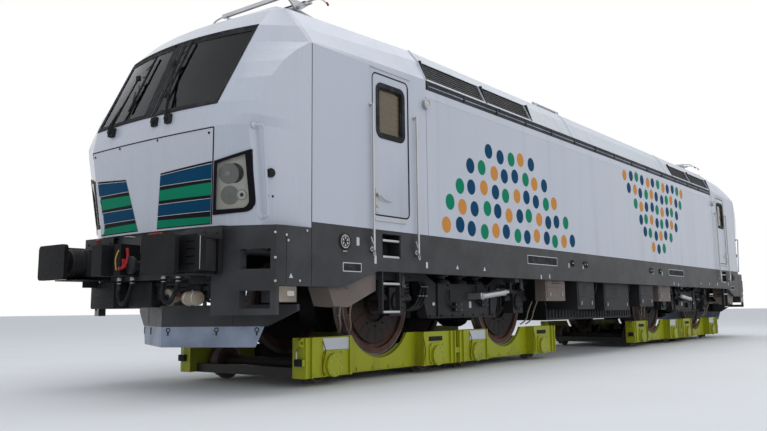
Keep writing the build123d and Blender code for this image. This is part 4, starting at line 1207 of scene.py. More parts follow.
class LOCOMOTIVE_OT_front_equipment(bpy.types.Operator):
    """Adds the shelves over the buffers, handles, cocks, cable sockets, pipes and plow slots of the front beams."""

    bl_idname = "locomotive.front_equipment"
    bl_label = "Front equipment"

    def execute(self, context):
        dark, red, yellow, beige, steel, paint = part_lists(6)
        for side in (1, -1):
            y0, y1 = sorted((side * 600, side * 1130))
            paint.block("shelf", (8885, y0, 1322), (8962, y1, 1334), 4)
            paint.block("front", (8950, y0, 1205), (8962, y1, 1332), 4)
            low, high = sorted((side * 826, side * 926))
            # Painted shade: the opening in the shelf's front is given as a dark block, not as a hole.
            dark.block("hole", (8955, low, 1262), (8963.5, high, 1316), 12)
            for y in (side * 660, side * 1070):
                dark.rod("bolt", (8960, y, 1270), (8972, y, 1270), 13, 6, 2)
            dark.rod("sleeve", (8930, side * 890, 1053), (9330, side * 890, 1053), 150, 40, 20)
            low, high = sorted((side * 735, side * 1045))
            dark.block("housing", (8930, low, 900), (9170, high, 1205), 25)
            for x in (9200, 9240, 9280):
                dark.ring("bellows", (x, side * 890, 1053), (1, 0, 0), 150, 10, 40)
            low, high = sorted((side * 700, side * 1080))
            dark.block("pad", (8980, low, 868), (9330, high, 880), 4)
            dark.block("rib", (8930, side * 890 - 8, 800), (9120, side * 890 + 8, 925), 3)
            edge_y = side * 1310.5
            low, high = sorted((edge_y - side * 4, edge_y))
            # A strip of bare steel along each buffer plate's bent edge: partly worn paint and partly a painted
            # highlight.
            steel.block("worn edge", (9350, low, 905), (9356, high, 1200), 1)
        for y, color in ((-800, red), (160, red)):
            color.rod("grip", (8930, y, 1325), (8960, y - 110, 1310), 20, 14, 6)
            yellow.rod("stem", (8890, y + 20, 1322), (8940, y + 5, 1322), 17, 14, 4)
        red.tube("release", ((9345, 215, 1150), (9332, 222, 1075), (9348, 222, 1010),
                                    (9385, 222, 950), (9430, 215, 950)), 16)
        red.block("tab", (9322, 205, 955), (9392, 220, 1045), 6)
        yellow.tube("chain", ((9420, 195, 1125), (9455, 205, 1070), (9462, 205, 1000), (9440, 195, 935)), 6)
        dark.rod("crank", (9300, 255, 985), (9345, 255, 985), 85, 32, 12)
        dark.rod("crank", (9200, 235, 985), (9310, 255, 985), 45, 24, 6)
        dark.block("locker", (8600, -990, 575), (8960, -560, 852), 16)
        dark.block("locker", (8600, -500, 585), (8820, -100, 850), 14)
        for z in (620, 700, 780):
            dark.block("ridge", (8955, -950, z), (8966, -600, z + 18), 3)
        yellow.rod("valve", (9100, -167, 1130), (9130, -167, 1130), 22, 16, 4)
        for y in (-400, 0):
            steel.tube("wire", ((8895, y - 100, 1335), (8925, y - 60, 1328), (8925, y + 60, 1322),
                                (8895, y + 100, 1318)), 7)
        beige.rod("horn", (8800, 335, 690), (8945, 335, 680), 45, 28, 6, 80)
        beige.rod("reservoir", (8900, 565, 664), (8900, 765, 664), 66, 28, 14)
        steel.ring("strap", (8900, 610, 664), (0, 1, 0), 67, 5, 32)
        steel.ring("strap", (8900, 720, 664), (0, 1, 0), 67, 5, 32)
        red.rod("link", (8900, 420, 695), (8900, 600, 685), 8, 10, 2)
        dark.rod("throat", (8930, 335, 681), (8948, 335, 680), 30, 28, 4)
        red.block("tag", (8460, 830, 603), (8500, 960, 618), 4)
        dark.block("tray", (8420, -900, 800), (8780, 900, 840), 10)
        dark.rod("pipe", (8740, -880, 765), (8740, 880, 765), 28, 16, 4)
        dark.rod("pipe", (8660, -880, 720), (8660, 880, 720), 22, 16, 4)
        for y in (-780, -420, 0, 500, 800):
            dark.block("box", (8600, y - 90, 655), (8770, y + 90, 810), 14)
            steel.rod("cap", (8765, y, 735), (8780, y, 735), 20, 6, 3)
        for y in (-600, -200, 220, 620):
            dark.tube("cable", ((8720, y, 820), (8800, y + 20, 760), (8790, y + 50, 660), (8680, y + 90, 620),
                                (8550, y + 100, 660)), 15)
        for y in (260, 490, -260, -490):
            steel.rod("nut", (8940, y, 862), (8940, y, 902), 29, 6, 4)
            steel.ring("clip", (8940, y, 835), (0, 0, 1), 24, 5, 24)
            dark.block("cock", (8905, y - 38, 955), (8985, y + 38, 1005), 10)
            red.rod("lever", (8975, y, 980), (9000, y + 85, 985), 9, 10, 2)
        for x, y in ((8726.5, 68), (8492.5, 537), (8300, 920), (8492.5, -537), (8300, -920)):
            normal = Vector((0.894, 0.447 if y > 0 else -0.447, 0.0))
            spot = Vector((x, y, 352))
            dark.ring("slot", spot, normal, 20, 5, 20)
            dark.rod("slot", spot - Vector((0, 0, 55)), spot - Vector((0, 0, 18)), 8, 10, 2)
        box = Parts([round_plate("cover", (8335, 8550, 630, 757, 12), 6, 1479.5, 2)])
        box.plate("rim", (8330, 8556, 622, 765, 14), 9, 1479.5, 2, (8345, 8541, 637, 750, 8))
        steel.plate("lens", (8360, 8450, 675, 720, 10), 12, 1479.5, 3)
        for x, y, z in ((8595, 1471, 1271), (8594, 1473, 1033), (8593, 1475, 814)):
            spot = Vector((x, y, z))
            steel.rod("screw", spot - Vector((4, 2, 0)), spot + Vector((10, 6, 0)), 13, 12, 2)
        fit("front_fittings_dark", at_both_ends(dark), "bogie_black", "cast_black")
        fit("front_fittings_paint", at_both_ends(paint), "box_grey")
        fit("front_fittings_red", at_both_ends(red), "signal_red", "cast_black")
        fit("front_fittings_yellow", at_both_ends(yellow), "signal_yellow", "cast_black")
        fit("front_horns", at_both_ends(beige), "beige", "lamp_housing")
        fit("front_fittings_steel", at_both_ends(steel), "rail_steel")
        fit("front_side_lamps", at_four_corners(box), "beige", "lamp_housing")
        return {"FINISHED"}


class LOCOMOTIVE_OT_wheel_bolts(bpy.types.Operator):
    """Adds the bolt rings, hub caps and grooves on the wheels, and the bearing caps on the axle boxes."""

    bl_idname = "locomotive.wheel_bolts"
    bl_label = "Wheel bolts"

    def execute(self, context):
        heads = bolts(round_places(0, axle_z, 285, 12), 800, 818, 14)
        heads += bolts(round_places(0, axle_z, 135, 8, 0.3), 822, 838, 11)
        heads.ring("lip", (0, 803, axle_z), (0, 1, 0), 487, 4, 72)
        heads.ring("lip", (0, 803, axle_z), (0, 1, 0), 236, 4, 48)
        heads.ring("lip", (0, 815, axle_z), (0, 1, 0), 600, 3, 72)
        for angle in range(0, 360, 20):
            vent = block("vent", (-10, 801, ground + 325), (10, 806.5, ground + 455), 3)
            vent.data.transform(moved(0, 0, axle_z - ground) @ Matrix.Rotation(radians(angle), 4, "Y"))
            heads.append(vent)
        ready = join("wheel_set", at_both_sides(heads))
        for name, side in bogies:
            for end, shift in (("a", 1500), ("b", -1500)):
                x = side * bogie_x + shift
                own = copy(ready, moved(x))
                own.name = f"wheel_bolts_{name}_{end}"
                dress(own, f"wheelset_{name}_{end}", "motor_black", "wheel_iron")
        bpy.data.objects.remove(ready)
        small = bolts(round_places(0, small_axle_z, 100, 6), 795, 806, 9)
        small.ring("lip", (0, 795, small_axle_z), (0, 1, 0), 165, 4, 40)
        ready = join("small_set", at_both_sides(small))
        for name, side in bogies:
            for end, shift in (("a", 1500), ("b", -1500)):
                for number, step in ((1, 1010), (2, -1010)):
                    own = copy(ready, moved(side * bogie_x + shift + step))
                    own.name = f"dolly_wheel_bolts_{name}_{end}{number}"
                    dress(own, f"dolly_axle_{name}_{end}{number}", "dolly_wheel_iron")
        bpy.data.objects.remove(ready)
        caps = Parts()
        for x in (1500, -1500):
            caps.rod("cap", (x, 1138, axle_z), (x, 1166, axle_z), 118, 36, 8)
            caps += bolts(round_places(x, axle_z, 95, 8), 1160, 1178, 10)
        for name, side in bogies:
            own = copy(join("caps", at_both_sides([copy(cap, Matrix.Identity(4)) for cap in caps])),
                       moved(side * bogie_x))
            own.name = f"axle_box_caps_{name}"
            dress(own, f"bogie_{name}", "bogie_black")
        for piece in caps + [bpy.data.objects[name] for name in ("caps", "caps.001") if name in bpy.data.objects]:
            bpy.data.objects.remove(piece)
        return {"FINISHED"}


class LOCOMOTIVE_OT_bogie_fittings(bpy.types.Operator):
    """Adds the bolts, cable looms, pipes, brackets, sanding pipes and labels' bare plates on the bogies."""

    bl_idname = "locomotive.bogie_fittings"
    bl_label = "Bogie fittings"

    def execute(self, context):
        dark, steel, hose, plates, pipes, under = part_lists(6)
        face = 1120
        dark += bolts([(x, 455) for x in (-780, -520, -260, 0, 260, 520, 780)], face - 2, face + 14, 13)
        dark += bolts([(x, 835) for x in (-600, -360, 360, 600)], face - 2, face + 14, 13)
        dark += bolts([(x, z) for x in (-1780, -1220, 1220, 1780) for z in (920, 980)], face - 2, face + 12, 12)
        for x in (-700, 620):
            dark.block("stiffener", (x - 10, face - 2, 440), (x + 10, face + 20, 840), 4)
        dark.block("lower flange", (-840, face - 4, 418), (840, face + 26, 432), 4)
        dark.block("upper flange", (-640, face - 4, 850), (640, face + 26, 862), 4)
        for x, z in ((-500, 620), (180, 560)):
            dark.block("junction", (x - 85, face - 2, z - 55), (x + 85, face + 55, z + 55), 12)
            steel += bolts([(x - 65, z - 37), (x + 65, z - 37), (x - 65, z + 37), (x + 65, z + 37)], face + 50,
                           face + 58, 6)
            hose.tube("lead", ((x + 80, face + 30, z), (x + 160, face + 35, z - 10), (x + 200, face + 30, z + 100),
                               (x + 170, face + 20, z + 220)), 12)
        for n, x in enumerate((920, 990, 1060)):
            hose.tube("loom", ((x, 1040, 975), (x + 20, 1082, 945), (x - 50 - 20 * n, 1130, 835),
                               (x - 20, 1140, 700), (x + 50, 1100, 550), (x + 120, 1020, 520)), 14)
            steel.ring("clip", (x - 46 - 19 * n, 1131, 815), (0, 0.1, 1), 19, 5, 18)
            steel.ring("clip", (x - 18, 1140, 700), (0, 0.1, 1), 19, 5, 18)
        for n, x in enumerate((-960, -1040)):
            hose.tube("loom", ((x, 1040, 975), (x - 40, 1082, 945), (x + 60, 1130, 835), (x + 30, 1130, 660),
                               (x - 70, 1050, 500)), 14)
            steel.ring("clip", (x + 57, 1131, 810), (0, 0.1, 1), 19, 5, 18)
        steel += bolts([(x, z) for x, z in ((-140, 675), (-180, 725))], 1328, 1346, 13)
        steel.ring("boot", (-800, 1300, 760), (-1, 0, 0.094), 45, 9, 28)
        steel.ring("boot", (-200, 1300, 704), (-1, 0, 0.094), 45, 9, 28)
        brackets = bolts([(-940, 790), (-940, 755)], 1328, 1346, 13)
        brackets.rod("clevis", (-950, 1250, 773), (-950, 1345, 773), 26, 16, 4)
        brackets.block("hanger", (-1080, 1210, 740), (-955, 1290, 810), 10)
        brackets.block("hanger", (-1080, 1210, 740), (-1020, 1280, 1040), 10)
        first = join("brackets", brackets)
        first = join("brackets", [first, copy(first, half_turn)])
        placed = [copy(first, moved(side * bogie_x) @ Matrix.Diagonal((side, 1, 1, 1))) for _, side in bogies]
        bpy.data.objects.remove(first)
        fit("damper_brackets", placed, "bogie_black", "frame_grey")
        for x in (-1080, 1080):
            dark.block("brake unit", (x - 90, 860, 620), (x + 90, 970, 860), 20)
            dark.rod("brake rod", (x, 910, 640), (x + (100 if x > 0 else -100), 860, 520), 24, 14, 4)
        for x, way in ((2130, 1), (-2130, -1)):
            for shift in (0, -180):
                pipes.tube("sand pipe", ((x + way * (240 + shift), 1020, 640), (x + way * (225 + shift), 955, 500),
                                                (x + way * (165 + shift), 950, 335), (x + way * (120 + shift), 860,
                                                                                      285)), 11)
                steel.ring("clip", (x + way * (218 + shift), 955, 480), (0.2, 0.0, 1), 14, 4, 16)
        for x in (1500, -1500):
            flip = 1 if x > 0 else -1
            under.rod("gear case", (x, -170, axle_z), (x, 130, axle_z), 362, 40, 30)
            under.rod("gear case", (x - flip * 420, -150, 700), (x - flip * 420, 110, 700), 270, 36, 30)
            for n in range(10):
                angle = 2 * pi * n / 10
                under.rod("stud", (x + 330 * cos(angle), 120, 625 + 330 * sin(angle)),
                                 (x + 330 * cos(angle), 150, 625 + 330 * sin(angle)), 14, 6, 2)
            for y in (-720, 720):
                under.block("brake beam", (x - flip * 800 - 60, min(y, 0.86 * y), 420), (x - flip * 800 + 60,
                                                                                         max(y, 0.86 * y), 780), 20)
        for x, z, wide, tall in ((-180, 590, 55, 85), (700, 600, 50, 35)):
            plates.plate("plate", (x - wide / 2, x + wide / 2, z - tall / 2, z + tall / 2, 4), 3, face, 1)
        groups = {"dark": ("bogie_black", dark), "steel": ("rail_steel", steel), "hose": ("hose_rubber", hose),
                  "plates": ("plate_white", plates), "pipes": ("beige", pipes), "gear": ("motor_black", under)}
        for key, (finish, parts) in groups.items():
            both = join(key, parts)
            if key != "gear":
                both = join(key, [both, copy(both, half_turn)])
            for name, side in bogies:
                own = copy(both, moved(side * bogie_x) @ Matrix.Diagonal((side, 1, 1, 1)))
                own.name = f"bogie_{key}_{name}"
                slot = {"rail_steel": "damper_grey", "motor_black": "motor_black"}.get(finish, "bogie_black")
                dress(own, f"bogie_{name}", finish, slot)
            bpy.data.objects.remove(both)
        return {"FINISHED"}


class LOCOMOTIVE_OT_dolly_fittings(bpy.types.Operator):
    """Adds the bearing cover plates, bolts, bare label plates, rubber buffers, grab bars and ropes of the dollies."""

    bl_idname = "locomotive.dolly_fittings"
    bl_label = "Dolly fittings"

    def execute(self, context):
        paint, white, rubber, steel, rope = part_lists(5)
        # Heights here are over the floor, until the pieces are placed
        for turn in (1, -1):
            x = turn * 1010
            paint.plate("cover", (x - 155, x + 155, 112, 372, 70), 16, 1000, 4)
            steel += bolts(round_places(x, 218, 98, 8, 0.4), 1048, 1060, 10)
            paint += bolts([(x - 130, 135), (x + 130, 135), (x - 130, 350), (x + 130, 350)], 1014, 1026, 10)
            paint.block("lip", (x - 330, 995, 100), (x + 330, 1012, 112), 3)
            x0, x1 = (1428, 1504) if turn > 0 else (-1504, -1430)
            rubber.block("pad", (x0, 900, 225), (x1, 1015, 300), 10)
        white.plate("label", (715, 1155, 113 - ground, 237 - ground, 6), 4, 1000.5, 1)
        # Painted shade: the slot in the dolly's side is given as a flat dark plate, not as an opening.
        rubber.plate("slot", (-1160, -860, 135 - ground, 185 - ground, 4), 4, 999.5, 1)
        steel.tube("grab", ((1462, 920, 400), (1488, 930, 385), (1492, 930, 330), (1488, 930, 275),
                            (1462, 920, 260)), 8)
        rope.tube("rope", ((1165, 1004, 480), (1170, 1030, 440), (1140, 1030, 360), (1185, 1030, 260),
                           (1200, 1032, 160), (1160, 1020, 118)), 5)
        rope.tube("rope", ((-720, 1004, 480), (-700, 1030, 420), (-740, 1030, 300), (-710, 1030, 180),
                           (-740, 1020, 118)), 5)
        for spot in (-450, -150, 150, 450):
            paint.block("gusset", (spot - 8, 876, 100), (spot + 8, 892, 150), 2)
        paint.block("foot rail", (-720, 876, 96), (720, 890, 108), 3)
        groups = {"paint": ("dolly_yellow", paint), "labels": ("plate_white", white), "rubber": ("hose_rubber", rubber),
                  "steel": ("rail_steel", steel), "ropes": ("rope_red", rope)}
        for key, (finish, parts) in groups.items():
            near = join(key, parts)
            both = join(key, [near, copy(near, across_y)])
            for name, side in bogies:
                pair = [copy(both, moved(side * bogie_x + shift, 0, ground) @ Matrix.Diagonal((side, 1, 1, 1)))
                        for shift in (1500, -1500)]
                own = join(f"dolly_{key}_{name}", pair)
                dress(own, f"bogie_{name}", finish, "dolly_yellow")
            bpy.data.objects.remove(both)
        return {"FINISHED"}


class LOCOMOTIVE_OT_roof_fittings(bpy.types.Operator):
    """Adds the roof's seam beads, bolts, lids and lifting eyes, and the sheds and caps of the insulators."""

    bl_idname = "locomotive.roof_fittings"
    bl_label = "Roof fittings"

    def execute(self, context):
        beads, bolts_up, sheds, caps = part_lists(4)
        section = ((1505, 3322), (1387, 3582), (1263, 3742), (1082, 3767))
        top = roof_top
        for x in (1837, -2849, 6098, -6098):
            for side in (1, -1):
                for (y0, z0), (y1, z1) in zip(section, section[1:]):
                    beads.rod("bead", (x, side * y0, z0), (x, side * y1, z1), 11, 10, 3)
            beads.rod("bead", (x, -1083, top + 2), (x, 1083, top + 2), 11, 10, 3)
            for spot in range(-4, 5):
                bolts_up.rod("bolt", (x + 35, spot * 240, top - 2), (x + 35, spot * 240, top + 9), 10, 6, 2)
                bolts_up.rod("bolt", (x - 35, spot * 240, top - 2), (x - 35, spot * 240, top + 9), 10, 6, 2)
        for x in (-4900, -1900, -400, 900, 3300, 4700):
            beads.block("lid", (x - 400, -340, top - 4), (x + 400, 340, top + 14), 12)
            for y in (-270, 270):
                caps.tube("grip", ((x - 80, y, top + 12), (x - 70, y, top + 45), (x + 70, y, top + 45),
                                   (x + 80, y, top + 12)), 6)
            for turn_x in (-360, 360):
                for y in (-300, 0, 300):
                    bolts_up.rod("bolt", (x + turn_x, y, top + 10), (x + turn_x, y, top + 22), 10, 6, 2)
        for x in (-5600, -3100, 2100, 5600):
            for y in (-960, 960):
                caps.ring("eye", (x, y, top + 30), (0, 1, 0), 28, 8, 24)
                caps.block("pad", (x - 50, y - 30, top - 3), (x + 50, y + 30, top + 6), 3)
        for x in (6180, 7520, -6180, -7520):
            for y in (420, -420):
                for z in (40, 75, 110, 145):
                    sheds.ring("shed", (x, y, top + z), (0, 0, 1), 54, 9, 28)
                caps.rod("cap", (x, y, top + 164), (x, y, top + 178), 40, 20, 4)
                caps.rod("foot", (x, y, top - 2), (x, y, top + 18), 52, 20, 4)
        fit("roof_beads", beads, "roof_white", "roof_white")
        fit("roof_bolts", bolts_up, "rail_steel", "roof_equipment_steel")
        fit("insulator_sheds", sheds, "insulator_brown")
        fit("roof_caps", caps, "roof_equipment_steel")
        return {"FINISHED"}


class LOCOMOTIVE_OT_collectors(bpy.types.Operator):
    """Adds the horns, carbon strips, bracing wires, shunt cables and lifting bellows of the current collectors."""

    bl_idname = "locomotive.collectors"
    bl_label = "Current collectors"

    def execute(self, context):
        top = roof_top
        head, carbon, tips, wires, bellows, cables = part_lists(6)
        for x in (7200, 7500):
            for way in (1, -1):
                head.tube("horn", ((x, way * 570, top + 465), (x, way * 700, top + 466), (x, way * 820, top + 425),
                                   (x, way * 885, top + 345)), 11)
                tips.rod("tip", (x, way * 868, top + 372), (x, way * 892, top + 330), 13.5, 14, 4)
            carbon.block("carbon", (x - 17, -520, top + 474), (x + 17, 520, top + 479.5), 2)
        for way in (1, -1):
            wires.rod("brace", (5500, way * 270, top + 530 - 240), (6950, -way * 420, top + 335), 6, 8)
        for y in (140, -140):
            bellows.rod("bellows", (6720, y, top + 255), (6980, y, top + 255), 52, 28, 6)
            for n in range(6):
                bellows.ring("fold", (6740 + n * 44, y, top + 255), (1, 0, 0), 52, 11, 28)
        for way in (1, -1):
            cables.tube("shunt", ((6980, way * 200, top + 250), (7060, way * 240, top + 300),
                                  (7120, way * 220, top + 270), (7160, way * 200, top + 240)), 8)
        groups = (("horns", head, "pan_head", "pan_aluminium", "pan_aluminium"), ("carbons", carbon, "pan_head",
                                                                                  "black", "pan_aluminium"),
                  ("horn_tips", tips, "pan_head", "signal_red", "pan_aluminium"), ("braces", wires, "pan_upper",
                                                                                   "rail_steel", "pan_steel"),
                  ("bellows", bellows, "", "hose_rubber", "pan_steel"), ("shunts", cables, "", "signal_red",
                                                                         "pan_steel"))
        for key, parts, body, finish, slot in groups:
            first = join(key, parts)
            second = copy(first, across_x)
            for own, end in ((first, "front"), (second, "rear")):
                own.name = f"collector_{key}_{end}"
                dress(own, f"{body}_{end}" if body else "locomotive", finish, slot)
        return {"FINISHED"}


class LOCOMOTIVE_OT_box_fittings(bpy.types.Operator):
    """Adds the lids, latches, vents and pipes of the boxes under the floor, and the fins of the transformer."""

    bl_idname = "locomotive.box_fittings"
    bl_label = "Box fittings"

    def execute(self, context):
        lids, latches, vents = part_lists(3)
        # Columns: start x, end x, face y, bottom and top over the rail
        for x0, x1, y, z0, z1 in ((1080, 1760, 1426, 505, 1180), (-700, 480, 1350, 480, 1180),
                                  (-1810, -1060, 1426, 540, 1180), (2220, 2890, 1426, 640, 1180), (-2860, -2140,
                                                                                                   1426, 640, 1180)):
            outer = (x0 + 45, x1 - 45, z0 + 45, z1 - 80, 30)
            lids.plate("lid", outer, 8, y - 1, 2)
            middle = (x0 + x1) / 2
            lids.block("rib", (x0 + 70, y, z0 + 200), (x1 - 70, y + 12, z0 + 212), 3)
            lids.block("hinge", (x0 + 70, y, z1 - 100), (x1 - 70, y + 16, z1 - 78), 4)
            for x in (x0 + 130, x1 - 130):
                latches.plate("latch", (x - 18, x + 18, z0 + 75, z0 + 125, 6), 12, y + 6, 3)
                latches.rod("pin", (x, y + 12, z0 + 135), (x, y + 22, z0 + 135), 7, 10, 2)
            for step in range(5):
                z = z0 + 260 + step * 30
                vents.block("vent", (middle - 130, y + 4, z), (middle + 130, y + 9.5, z + 12), 3)
            vents.tube("drain", ((middle + 200, y - 100, z0 + 10), (middle + 200, y - 90, z0 - 50),
                                 (middle + 160, y - 90, z0 - 75)), 12)
        for n in range(30):
            x = -1920 + n * 125
            vents.block("fin", (x - 10, 872, 360), (x + 10, 893, 520), 3)
        for x in (700, 860, -860):
            vents.tube("riser", ((x, 1300, 1280), (x, 1320, 1050), (x + 30, 1300, 750), (x + 20, 1100, 620)), 22)
            latches.ring("clip", (x + 5, 1317, 1020), (0, 0, 1), 27, 6, 20)
        near = {"box_grey": lids, "lamp_grey": latches, "bogie_black": vents}
        for finish, parts in near.items():
            fit(f"box_fittings_{finish}", at_both_sides(parts), finish, "box_grey")
        sand_lids = Parts([round_plate("lid", (7100, 7720, 970, 1020, 10), 6, 1425.5, 2)])
        sand_lids.rod("cap", (7500, 1426, 800), (7500, 1436, 800), 45, 28, 4)
        for x in (7200, 7350, 7620):
            sand_lids.rod("bolt", (x, 1425, 930), (x, 1436, 930), 11, 6, 2)
        fit("sand_box_fittings", at_four_corners(sand_lids), "sand_box", "box_grey")
        return {"FINISHED"}


class LOCOMOTIVE_OT_cab_fittings(bpy.types.Operator):
    """Adds the cushions and headrests of the seats, and the desks' panels, screens and levers."""

    bl_idname = "locomotive.cab_fittings"
    bl_label = "Cab fittings"

    def execute(self, context):
        cushions, panels, screens, levers = part_lists(4)
        for y in (500, -500):
            cushions.block("squab", (7460, y - 220, 2030), (7860, y + 220, 2120), 40)
            cushions.block("back", (7415, y - 200, 2140), (7500, y + 200, 2550), 35)
            cushions.block("headrest", (7430, y - 120, 2580), (7500, y + 120, 2700), 30)
            for side in (1, -1):
                cushions.block("armrest", (7470, y + side * 250 - 30, 2220), (7770, y + side * 250 + 30, 2260), 18)
        # The desk's pieces are made flat on the floor's level and then set on its slope
        slope = moved(8280, 0, 2375 - ground) @ Matrix.Rotation(radians(20), 4, "Y")
        flat = Parts([block("panel", (-200, -1100, ground - 12), (200, 1100, ground + 12), 10)])
        for y in (280, 620, -300, -700):
            flat.block("bezel", (-100, y - 130, ground + 8), (100, y + 130, ground + 24), 6)
        for piece in flat:
            piece.data.transform(slope)
        panels += flat
        for y in (280, 620, -300, -700):
            screen = block("screen", (-85, y - 115, ground + 22), (85, y + 115, ground + 26.5), 3)
            screen.data.transform(slope)
            screens.append(screen)
        for y in (460, 850, -500):
            levers.rod("lever", (8140, y, 2430), (8100, y, 2530), 9, 12, 2)
            levers.rod("knob", (8103, y, 2520), (8092, y, 2548), 20, 18, 6)
        levers.tube("microphone", ((8200, 20, 2400), (8160, 10, 2500), (8080, 0, 2560)), 7)
        fit("seat_cushions", at_both_ends(cushions), "blind", "cab_plastic")
        fit("desk_panels", at_both_ends(panels), "cab_plastic")
        fit("desk_screens", at_both_ends(screens), "black", "cab_plastic")
        fit("desk_levers", at_both_ends(levers), "lamp_grey", "cab_plastic")
        return {"FINISHED"}


class LOCOMOTIVE_OT_finishes(bpy.types.Operator):
    """Gives every piece of the frame its finish."""

    bl_idname = "locomotive.finishes"
    bl_label = "Finish the frame"

    def execute(self, context):
        make_materials(context.scene.locomotive_colours)
        slots = {entry["node"]: entry["material_slot"] for entry in frame["record"]["subparts"]}
        for node, piece in frame["nodes"].items():
            finish = materials["cast_black" if node == "buffers" else slots[node]]
            if not piece.material_slots:
                piece.data.materials.append(finish)
            for slot in piece.material_slots:
                slot.material = finish
        return {"FINISHED"}


class LOCOMOTIVE_OT_stage(bpy.types.Operator):
    """Adds the pale floor, the soft lamps, the white background and the camera."""

    bl_idname = "locomotive.stage"
    bl_label = "Stage"

    def execute(self, context):
        settings = context.scene.locomotive_stage
        add_floor()
        add_world(settings.sky)
        add_lamp("lamp_top", (0.0, 2.0, 15.0), (0.0, 0.0, 2.0), (30.0, 12.0), settings.top)
        add_lamp("lamp_side", (6.0, 22.0, 9.0), (2.0, 0.0, 2.0), (26.0, 10.0), settings.side)
        add_lamp("lamp_front", (24.0, -4.0, 7.0), (8.0, 0.0, 2.0), (9.0, 7.0), settings.front)
        add_camera()
        scene = context.scene
        scene.view_settings.view_transform = "Standard"
        return {"FINISHED"}


def add_floor():
    """A plain pale floor that carries the shadow."""
    deselect()
    bpy.ops.mesh.primitive_plane_add(size=400)
    floor = bpy.context.active_object
    floor.name = "floor"
    finish = Finish("pale floor", 0.9)
    grain = finish.noise(0.6, 5.0)
    finish.set("Base Color", finish.mix(grain, (0.70, 0.70, 0.70), (0.76, 0.76, 0.765)))
    floor.data.materials.append(finish.material)


def add_world(strength):
    """Plain light all round, and a white background where the camera and reflections see it."""
    world = bpy.data.worlds.new("studio")
    bpy.context.scene.world = world
    world.use_nodes = True
    tree = world.node_tree
    tree.nodes.clear()
    def node(kind, operation=None, *inputs):
        made = tree.nodes.new(kind)
        if operation:
            made.operation = operation
        for socket, value in zip(made.inputs, inputs):
            if isinstance(value, bpy.types.NodeSocket):
                tree.links.new(value, socket)
            else:
                socket.default_value = value
        return made

    path = node("ShaderNodeLightPath")
    clear = node("ShaderNodeMath", "MAXIMUM", path.outputs["Is Glossy Ray"], path.outputs["Is Transmission Ray"])
    seen = node("ShaderNodeMath", "MAXIMUM", path.outputs["Is Camera Ray"], clear.outputs[0])
    plain = node("ShaderNodeBackground", None, (0.86, 0.92, 1.0, 1.0), strength)
    white = node("ShaderNodeBackground", None, (1.0, 1.0, 1.0, 1.0))
    mix = node("ShaderNodeMixShader", None, seen.outputs[0], plain.outputs[0], white.outputs[0])
    node("ShaderNodeOutputWorld", None, mix.outputs[0])


def add_lamp(name, place, target, size, power):
    """One soft rectangular lamp that faces a point."""
    light = bpy.data.lights.new(name, "AREA")
    light.shape = "RECTANGLE"
    light.size, light.size_y = size
    light.energy = power
    lamp = bpy.data.objects.new(name, light)
    bpy.context.scene.collection.objects.link(lamp)
    lamp.location = place
    lamp.rotation_euler = (Vector(target) - Vector(place)).to_track_quat("-Z", "Y").to_euler()


# The lamps' and the camera's places are in metres in the frame.
# The camera that took the photograph, from its fit to the known lengths
camera_place = (13.810, 6.786, 0.810)
camera_yaw = 217.65
camera_pitch = 8.74
camera_roll = -0.62
camera_lens = 36.83
camera_shift = -0.0352


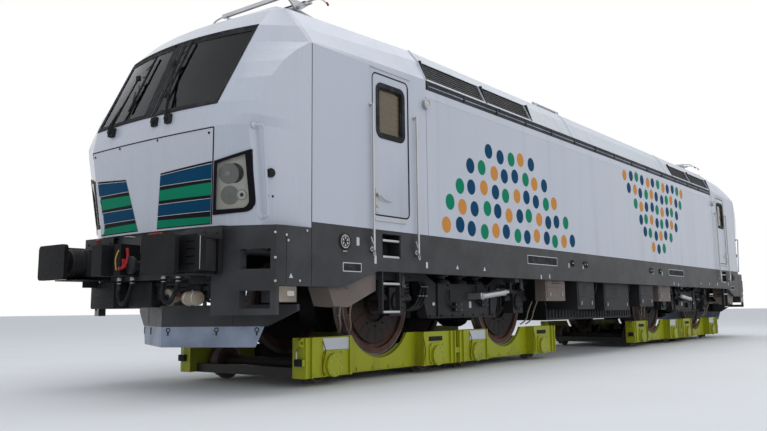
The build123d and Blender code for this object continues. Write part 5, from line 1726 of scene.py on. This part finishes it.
def add_camera():
    """The camera at the photograph's place, height and lens."""
    yaw, pitch, roll = radians(camera_yaw), radians(camera_pitch), radians(camera_roll)
    forward = Vector((cos(pitch) * cos(yaw), cos(pitch) * sin(yaw), sin(pitch)))
    level = Vector((sin(yaw), -cos(yaw), 0.0))
    upright = level.cross(forward)
    right = level * cos(roll) + upright * sin(roll)
    up = upright * cos(roll) - level * sin(roll)
    turn = Matrix((right, up, -forward)).transposed().to_4x4()
    data = bpy.data.cameras.new("camera")
    data.lens = camera_lens
    data.sensor_width = 36.0
    data.sensor_fit = "HORIZONTAL"
    data.shift_y = camera_shift
    data.clip_end = 500.0
    camera = bpy.data.objects.new("camera", data)
    bpy.context.scene.collection.objects.link(camera)
    camera.matrix_world = Matrix.Translation(camera_place) @ turn
    bpy.context.scene.camera = camera


pieces_in_order = (
    LOCOMOTIVE_OT_finishes,
    LOCOMOTIVE_OT_nose_stripes,
    LOCOMOTIVE_OT_lamp_bezels,
    LOCOMOTIVE_OT_screen_seals,
    LOCOMOTIVE_OT_wipers,
    LOCOMOTIVE_OT_nose_rails,
    LOCOMOTIVE_OT_side_dots,
    LOCOMOTIVE_OT_doors,
    LOCOMOTIVE_OT_sill_fittings,
    LOCOMOTIVE_OT_wall_rails,
    LOCOMOTIVE_OT_springs,
    LOCOMOTIVE_OT_headlights,
    LOCOMOTIVE_OT_front_equipment,
    LOCOMOTIVE_OT_wheel_bolts,
    LOCOMOTIVE_OT_bogie_fittings,
    LOCOMOTIVE_OT_dolly_fittings,
    LOCOMOTIVE_OT_roof_fittings,
    LOCOMOTIVE_OT_collectors,
    LOCOMOTIVE_OT_box_fittings,
    LOCOMOTIVE_OT_cab_fittings,
    LOCOMOTIVE_OT_stage,
)


class LOCOMOTIVE_PT_panel(bpy.types.Panel):
    """Lists the steps that dress the locomotive."""

    bl_label = "Locomotive"
    bl_idname = "LOCOMOTIVE_PT_panel"
    bl_space_type = "VIEW_3D"
    bl_region_type = "UI"
    bl_category = "Locomotive"

    def draw(self, context):
        for operator in pieces_in_order:
            self.layout.operator(operator.bl_idname)


classes = (LocomotiveColours, LocomotiveStage, *pieces_in_order, LOCOMOTIVE_PT_panel)


def register():
    for item in classes:
        bpy.utils.register_class(item)
    bpy.types.Scene.locomotive_colours = bpy.props.PointerProperty(type=LocomotiveColours)
    bpy.types.Scene.locomotive_stage = bpy.props.PointerProperty(type=LocomotiveStage)


def unregister():
    del bpy.types.Scene.locomotive_stage
    del bpy.types.Scene.locomotive_colours
    for item in reversed(classes):
        bpy.utils.unregister_class(item)


def main():
    register()
    for operator in pieces_in_order:
        group, name = operator.bl_idname.split(".")
        getattr(getattr(bpy.ops, group), name)()


if __name__ == "__main__":
    main()
